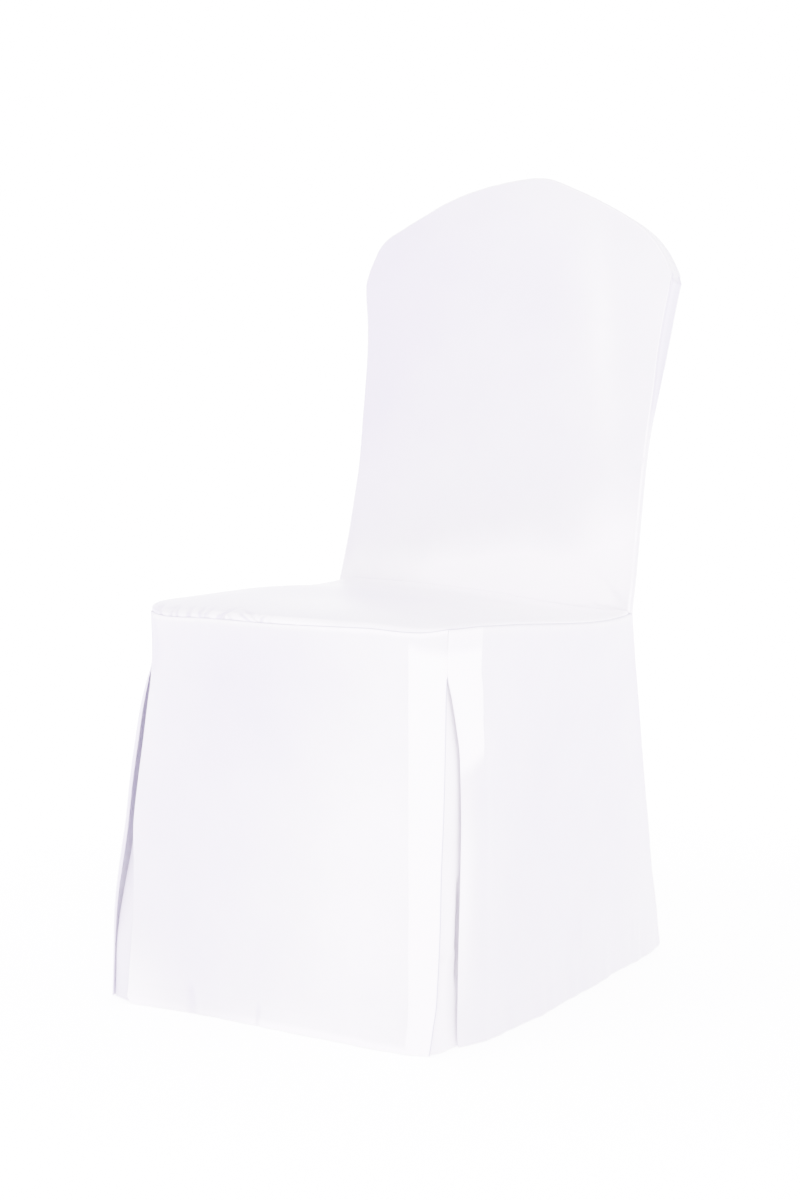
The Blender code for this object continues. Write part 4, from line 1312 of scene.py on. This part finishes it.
def satin_material(name):
    """Heavy white polyester satin: a faint lilac white, even and close, that takes a broad soft
    sheen. Its colour carries painted light and shade: a tone lightens it as painted highlight and
    deepens it as painted shade, and a painted shadow line runs in each seam. Where it lies double,
    at the facings beside the right slit, less light goes through it and it looks whiter, and that
    white carries a painted sheen as well. Its weave is a fine diagonal that only shows from close
    by."""
    material = bpy.data.materials.new(name)
    material.use_nodes = True
    tree = material.node_tree
    shader = tree.nodes["Principled BSDF"]
    for key, value in SATIN_SURFACE.items():
        shader.inputs[key].default_value = value
    facing, double_and_sheen, tone, seam = (
        add_node(tree, "ShaderNodeAttribute", {"attribute_name": key}, output="Fac")
        for key in ("facing", "double_and_sheen", "tone", "seam")
    )
    cut = add_node(tree, "ShaderNodeUVMap", {"uv_map": "cut"})
    place = add_node(tree, "ShaderNodeTexCoord", output="Object")

    # Doubled cloth, whose whiteness also carries a painted sheen, and the row of stitches that holds
    # it
    step = add_node(tree, MATH, {"operation": "MULTIPLY_ADD", "use_clamp": True},
                    {0: facing, 1: FACING_EDGE, 2: 0.5})
    double = add_node(tree, MATH, {"operation": "MULTIPLY"}, {0: step, 1: double_and_sheen})
    off_row = add_node(tree, MATH, {"operation": "SUBTRACT"}, {0: facing, 1: STITCH_INSET})
    off_row = add_node(tree, MATH, {"operation": "ABSOLUTE"}, {0: off_row})
    row = add_node(tree, MATH, {"operation": "LESS_THAN"}, {0: off_row, 1: STITCH_HALF})
    beat = add_node(tree, "ShaderNodeVectorMath", {"operation": "DOT_PRODUCT"},
                    {0: cut, 1: (1 / STITCH_PITCH, 1 / STITCH_PITCH, 0.0)}, "Value")
    beat = add_node(tree, MATH, {"operation": "FRACT"}, {0: beat})
    stitch = add_node(tree, MATH, {"operation": "LESS_THAN"}, {0: beat, 1: STITCH_SHARE})
    thread = add_node(tree, MATH, {"operation": "MULTIPLY"}, {0: row, 1: stitch})
    thread = add_node(tree, MATH, {"operation": "MULTIPLY"}, {0: thread, 1: double_and_sheen})

    # Colour: the tone, which is painted light and shade with a random mottle added, makes it deeper
    # below 0 and whiter above it. It is whiter where the cloth is double with painted sheen, and
    # darker along seams as painted shadow.
    mottle = add_node(tree, "ShaderNodeTexNoise", None,
                      {"Vector": place, "Scale": MOTTLE_SCALE, "Detail": 3.0, "Roughness": 0.6})
    mottle = add_node(tree, MATH, {"operation": "MULTIPLY_ADD"},
                      {0: mottle, 1: 2 * MOTTLE_TONE, 2: -MOTTLE_TONE})
    tone = add_node(tree, MATH, {"operation": "ADD"}, {0: tone, 1: mottle})
    deep = add_node(tree, MATH, {"operation": "MULTIPLY", "use_clamp": True}, {0: tone, 1: -1.0})
    light = add_node(tree, MATH, {"operation": "MAXIMUM", "use_clamp": True}, {0: tone, 1: double})
    # A painted shadow line along each seam, read from the seam attribute
    line = add_node(tree, "ShaderNodeMapRange", {"interpolation_type": "SMOOTHSTEP"},
                    {"Value": seam, "From Min": SEAM_LINE_CORE * SEAM_LINE, "From Max": SEAM_LINE,
                     "To Min": 1.0, "To Max": 0.0})
    colour = linear(SATIN_SINGLE)
    for share, shade in ((deep, SATIN_DEEP), (light, SATIN_DOUBLE_AND_HIGHLIGHT), (line, PAINTED_SEAM_SHADOW)):
        colour = add_node(tree, "ShaderNodeMix", {"data_type": "RGBA"},
                          {0: share, 6: colour, 7: linear(shade)}, 2)
    tree.links.new(colour, shader.inputs["Base Color"])

    # Relief: the cloth's crumple, the facing's step, its stitches, the slubs and the weave
    warp = add_node(tree, "ShaderNodeTexWave", {"bands_direction": "DIAGONAL"},
                    {"Vector": cut, "Scale": WAVE_UNIT / WEAVE_PITCH, "Distortion": 0.6,
                     "Detail": 1.0, "Detail Scale": 2.0}, "Fac")
    slub = add_node(tree, "ShaderNodeMapping", None, {"Vector": cut, "Scale": SLUBS})
    slub = add_node(tree, "ShaderNodeTexNoise", None, {"Vector": slub, "Scale": 1.0, "Detail": 2.0})
    crumple = add_node(tree, "ShaderNodeTexNoise", None,
                       {"Vector": place, "Scale": CRUMPLE_SCALE, "Detail": 2.5, "Roughness": 0.5})
    relief = {"Strength": 1.0}
    for height, depth in (
        (crumple, CRUMPLE_DEPTH),
        (step, FACING_DEPTH),
        (thread, THREAD_DEPTH),
        (slub, SLUB_DEPTH),
        (warp, WEAVE_DEPTH),
    ):
        relief.update(Height=height, Distance=depth)
        relief["Normal"] = add_node(tree, "ShaderNodeBump", None, relief)
    tree.links.new(relief["Normal"], shader.inputs["Normal"])
    return material


PAPER_WHITE = "F9F9FA"
PAPER_SURFACE = {"Roughness": 0.9, "Specular IOR Level": 0.2, "Emission Color": (1.0, 1.0, 1.0, 1.0)}
FLOOR_GLOW_NEAR = 6.2
FLOOR_GLOW_FAR = 12.0
FLOOR_GLOW_REACH = (0.5, 2.6)


def floor_material(name):
    """White studio paper: matt, with a painted glow of its own that is weaker near the cover and
    brighter far off, so that no hard shadow shows.
    """
    material = bpy.data.materials.new(name)
    material.use_nodes = True
    tree = material.node_tree
    shader = tree.nodes["Principled BSDF"]
    for key, value in {"Base Color": linear(PAPER_WHITE), **PAPER_SURFACE}.items():
        shader.inputs[key].default_value = value
    place = add_node(tree, "ShaderNodeTexCoord", output="Object")
    away = add_node(tree, "ShaderNodeVectorMath", {"operation": "LENGTH"}, {0: place}, "Value")
    glow = add_node(tree, "ShaderNodeMapRange", {"interpolation_type": "SMOOTHSTEP"},
                    {"Value": away, "From Min": FLOOR_GLOW_REACH[0], "From Max": FLOOR_GLOW_REACH[1],
                     "To Min": FLOOR_GLOW_NEAR, "To Max": FLOOR_GLOW_FAR})
    tree.links.new(glow, shader.inputs["Emission Strength"])
    return material


# Pieces

def cloth_piece(name, node, grid, material, marks):
    """A panel's cloth as one fine sheet, with its cut in metres as UV, in place of a node."""
    rows, columns = grid.shape[:2]
    cut = cut_of(grid)
    corner = np.arange(rows * columns).reshape(rows, columns)
    quads = np.stack(
        [corner[:-1, :-1], corner[:-1, 1:], corner[1:, 1:], corner[1:, :-1]], axis=-1
    ).reshape(-1, 4)
    mesh = bpy.data.meshes.new(name)
    points = grid + np.array([0.0, SEAT_TO_ORIGIN, 0.0])
    mesh.from_pydata(points.reshape(-1, 3).tolist(), [], quads.tolist())
    uv = mesh.uv_layers.new(name="cut")
    flat = np.stack([cut.left, cut.bottom], axis=-1).reshape(-1, 2)
    uv.data.foreach_set("uv", flat[quads.reshape(-1)].reshape(-1))
    for key, values in marks(cut).items():
        layer = mesh.attributes.new(key, "FLOAT", "POINT")
        layer.data.foreach_set("value", values.reshape(-1).astype(np.float32))
    mesh.shade_smooth()
    piece = bpy.data.objects.new(name, mesh)
    bpy.context.scene.collection.objects.link(piece)
    mesh.materials.append(material)
    wall = piece.modifiers.new("cloth", "SOLIDIFY")
    wall.thickness = CLOTH
    wall.offset = -1.0
    wall.use_even_offset = False
    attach(piece, "root")
    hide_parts(node)
    return piece


SKIRT_SEEDS = {"front": 70, "right": 80, "left": 90}
Panel = namedtuple("Panel", "name node grid marks held")


def build_cover():
    """All nine pieces, in place of the frame's plain ones."""
    satin = satin_material("white_satin")
    front = front_skirt_form()
    right = side_skirt_form(1)
    left = side_skirt_form(-1)
    both = ("left", "right")
    front_cloth = skirt_detail(front, both, (), HEM_CREASES, SKIRT_SEEDS["front"])
    right_cloth = skirt_detail(right, both[:1], both[1:], SIDE_CREASES, SKIRT_SEEDS["right"])
    curled = wrapped(left, front[:, 0])
    left_cloth = skirt_detail(curled, both[1:], both[:1], (), SKIRT_SEEDS["left"])
    front_cloth = rounded_hem(front_cloth, both[:1])
    right_cloth = rounded_hem(right_cloth, both[1:])
    left_cloth = rounded_hem(left_cloth, both[:1])
    rear_cloth = rounded_hem(rear_panel_form(), both)
    right_lay = underlay_form(1, front, right)
    left_lay = underlay_form(-1, front, left)
    panels = (
        Panel("seat_cloth", "seat_panel", seat_form(), seat_marks, "stretched"),
        Panel("inside_back_cloth", "inside_back_panel", inside_back_form(), back_marks, "stretched"),
        Panel("gusset_cloth", "back_gusset", gusset_form(), gusset_marks, "stretched"),
        Panel("outside_back_cloth", "outside_back_panel", rear_cloth, rear_marks, "hung"),
        Panel("front_skirt_cloth", "front_skirt", front_cloth, front_marks, "hung"),
        Panel("right_skirt_cloth", "right_skirt", right_cloth, right_marks, "hung"),
        Panel("left_skirt_cloth", "left_skirt", left_cloth, left_marks, "hung"),
        Panel("right_underlay_cloth", "right_pleat_underlay", right_lay, right_lay_marks, "hung"),
        Panel("left_underlay_cloth", "left_pleat_underlay", left_lay, left_lay_marks, "hung"),
    )
    for panel in panels:
        piece = cloth_piece(panel.name, panel.node, panel.grid, satin, panel.marks)


# Studio

CAMERA_PLACE = (1.4933, -2.4411, 0.7493)
CAMERA_PITCH = 0.1022
CAMERA_YAW = 0.5530
LENS = 71.24
SENSOR = 36.0
ROOM_LOW = 2.1
ROOM_HIGH = 11.0
BACKDROP_LIGHT = 17.0
BACKDROP_TOWARD = (-0.523, 0.846, -0.100)
BACKDROP_CONE = (0.62, 0.92)
ROOM_TOP = 0.9
HORIZON = (0.010, 0.025)
FLOOR_SIZE = 240.0
FLOOR_DROP = 0.0006
KEY_PLACE = (1.60, -2.30, 1.65)
KEY_SIZE = 1.4
KEY_POWER = 112.0
SIDE_PLACE = (-1.50, -2.50, 1.75)
SIDE_SIZE = 1.2
SIDE_POWER = 112.0
LIGHT_AIM = (0.0, 0.0, 0.45)


def add_camera():
    """The photo's own point of view, a little above the seat and to the cover's right."""
    data = bpy.data.cameras.new("view")
    data.lens = LENS
    data.sensor_width = SENSOR
    camera = bpy.data.objects.new("view", data)
    camera.location = CAMERA_PLACE
    camera.rotation_euler = (math.pi / 2 - CAMERA_PITCH, 0.0, CAMERA_YAW)
    bpy.context.scene.collection.objects.link(camera)
    bpy.context.scene.camera = camera


def add_light(name, place, size, power):
    """A square softbox that faces the middle of the cover."""
    data = bpy.data.lights.new(name, "AREA")
    data.shape = "SQUARE"
    data.size = size
    data.energy = power
    lamp = bpy.data.objects.new(name, data)
    lamp.location = place
    toward = Vector(LIGHT_AIM) - Vector(place)
    lamp.rotation_euler = toward.to_track_quat("-Z", "Y").to_euler()
    bpy.context.scene.collection.objects.link(lamp)


def add_world():
    """A bright room: even all round, brightest overhead and at the backdrop behind."""
    world = bpy.data.worlds.new("studio")
    bpy.context.scene.world = world
    world.use_nodes = True
    tree = world.node_tree
    toward = add_node(tree, "ShaderNodeTexCoord", output="Generated")
    near = add_node(tree, "ShaderNodeVectorMath", {"operation": "DOT_PRODUCT"},
                    {0: toward, 1: BACKDROP_TOWARD}, "Value")
    upward = add_node(tree, "ShaderNodeSeparateXYZ", None, {"Vector": toward}, "Z")
    room = add_node(tree, "ShaderNodeMapRange", None,
                    {"Value": upward, "From Min": 0.0, "From Max": ROOM_TOP,
                     "To Min": ROOM_LOW, "To Max": ROOM_HIGH})
    horizon = add_node(tree, "ShaderNodeMapRange", None,
                       {"Value": upward, "From Min": HORIZON[0], "From Max": HORIZON[1],
                        "To Min": BACKDROP_LIGHT, "To Max": 0.0})
    room = add_node(tree, MATH, {"operation": "MAXIMUM"}, {0: room, 1: horizon})
    glow = add_node(tree, "ShaderNodeMapRange", {"interpolation_type": "SMOOTHSTEP"},
                    {"Value": near, "From Min": BACKDROP_CONE[0], "From Max": BACKDROP_CONE[1],
                     "To Min": room, "To Max": BACKDROP_LIGHT})
    backdrop = tree.nodes["Background"]
    backdrop.inputs["Color"].default_value = (1.0, 1.0, 1.0, 1.0)
    tree.links.new(glow, backdrop.inputs["Strength"])


def build_studio():
    """A white paper floor in a bright room, with two large soft lights in front."""
    bpy.ops.object.select_all(action="DESELECT")
    bpy.ops.mesh.primitive_plane_add(size=FLOOR_SIZE, location=(0.0, 0.0, -FLOOR_DROP))
    floor = bpy.context.object
    floor.name = "studio_floor"
    floor.data.materials.append(floor_material("studio_paper"))
    add_world()
    add_light("key", KEY_PLACE, KEY_SIZE, KEY_POWER)
    add_light("side", SIDE_PLACE, SIDE_SIZE, SIDE_POWER)
    add_camera()


build_cover()
build_studio()
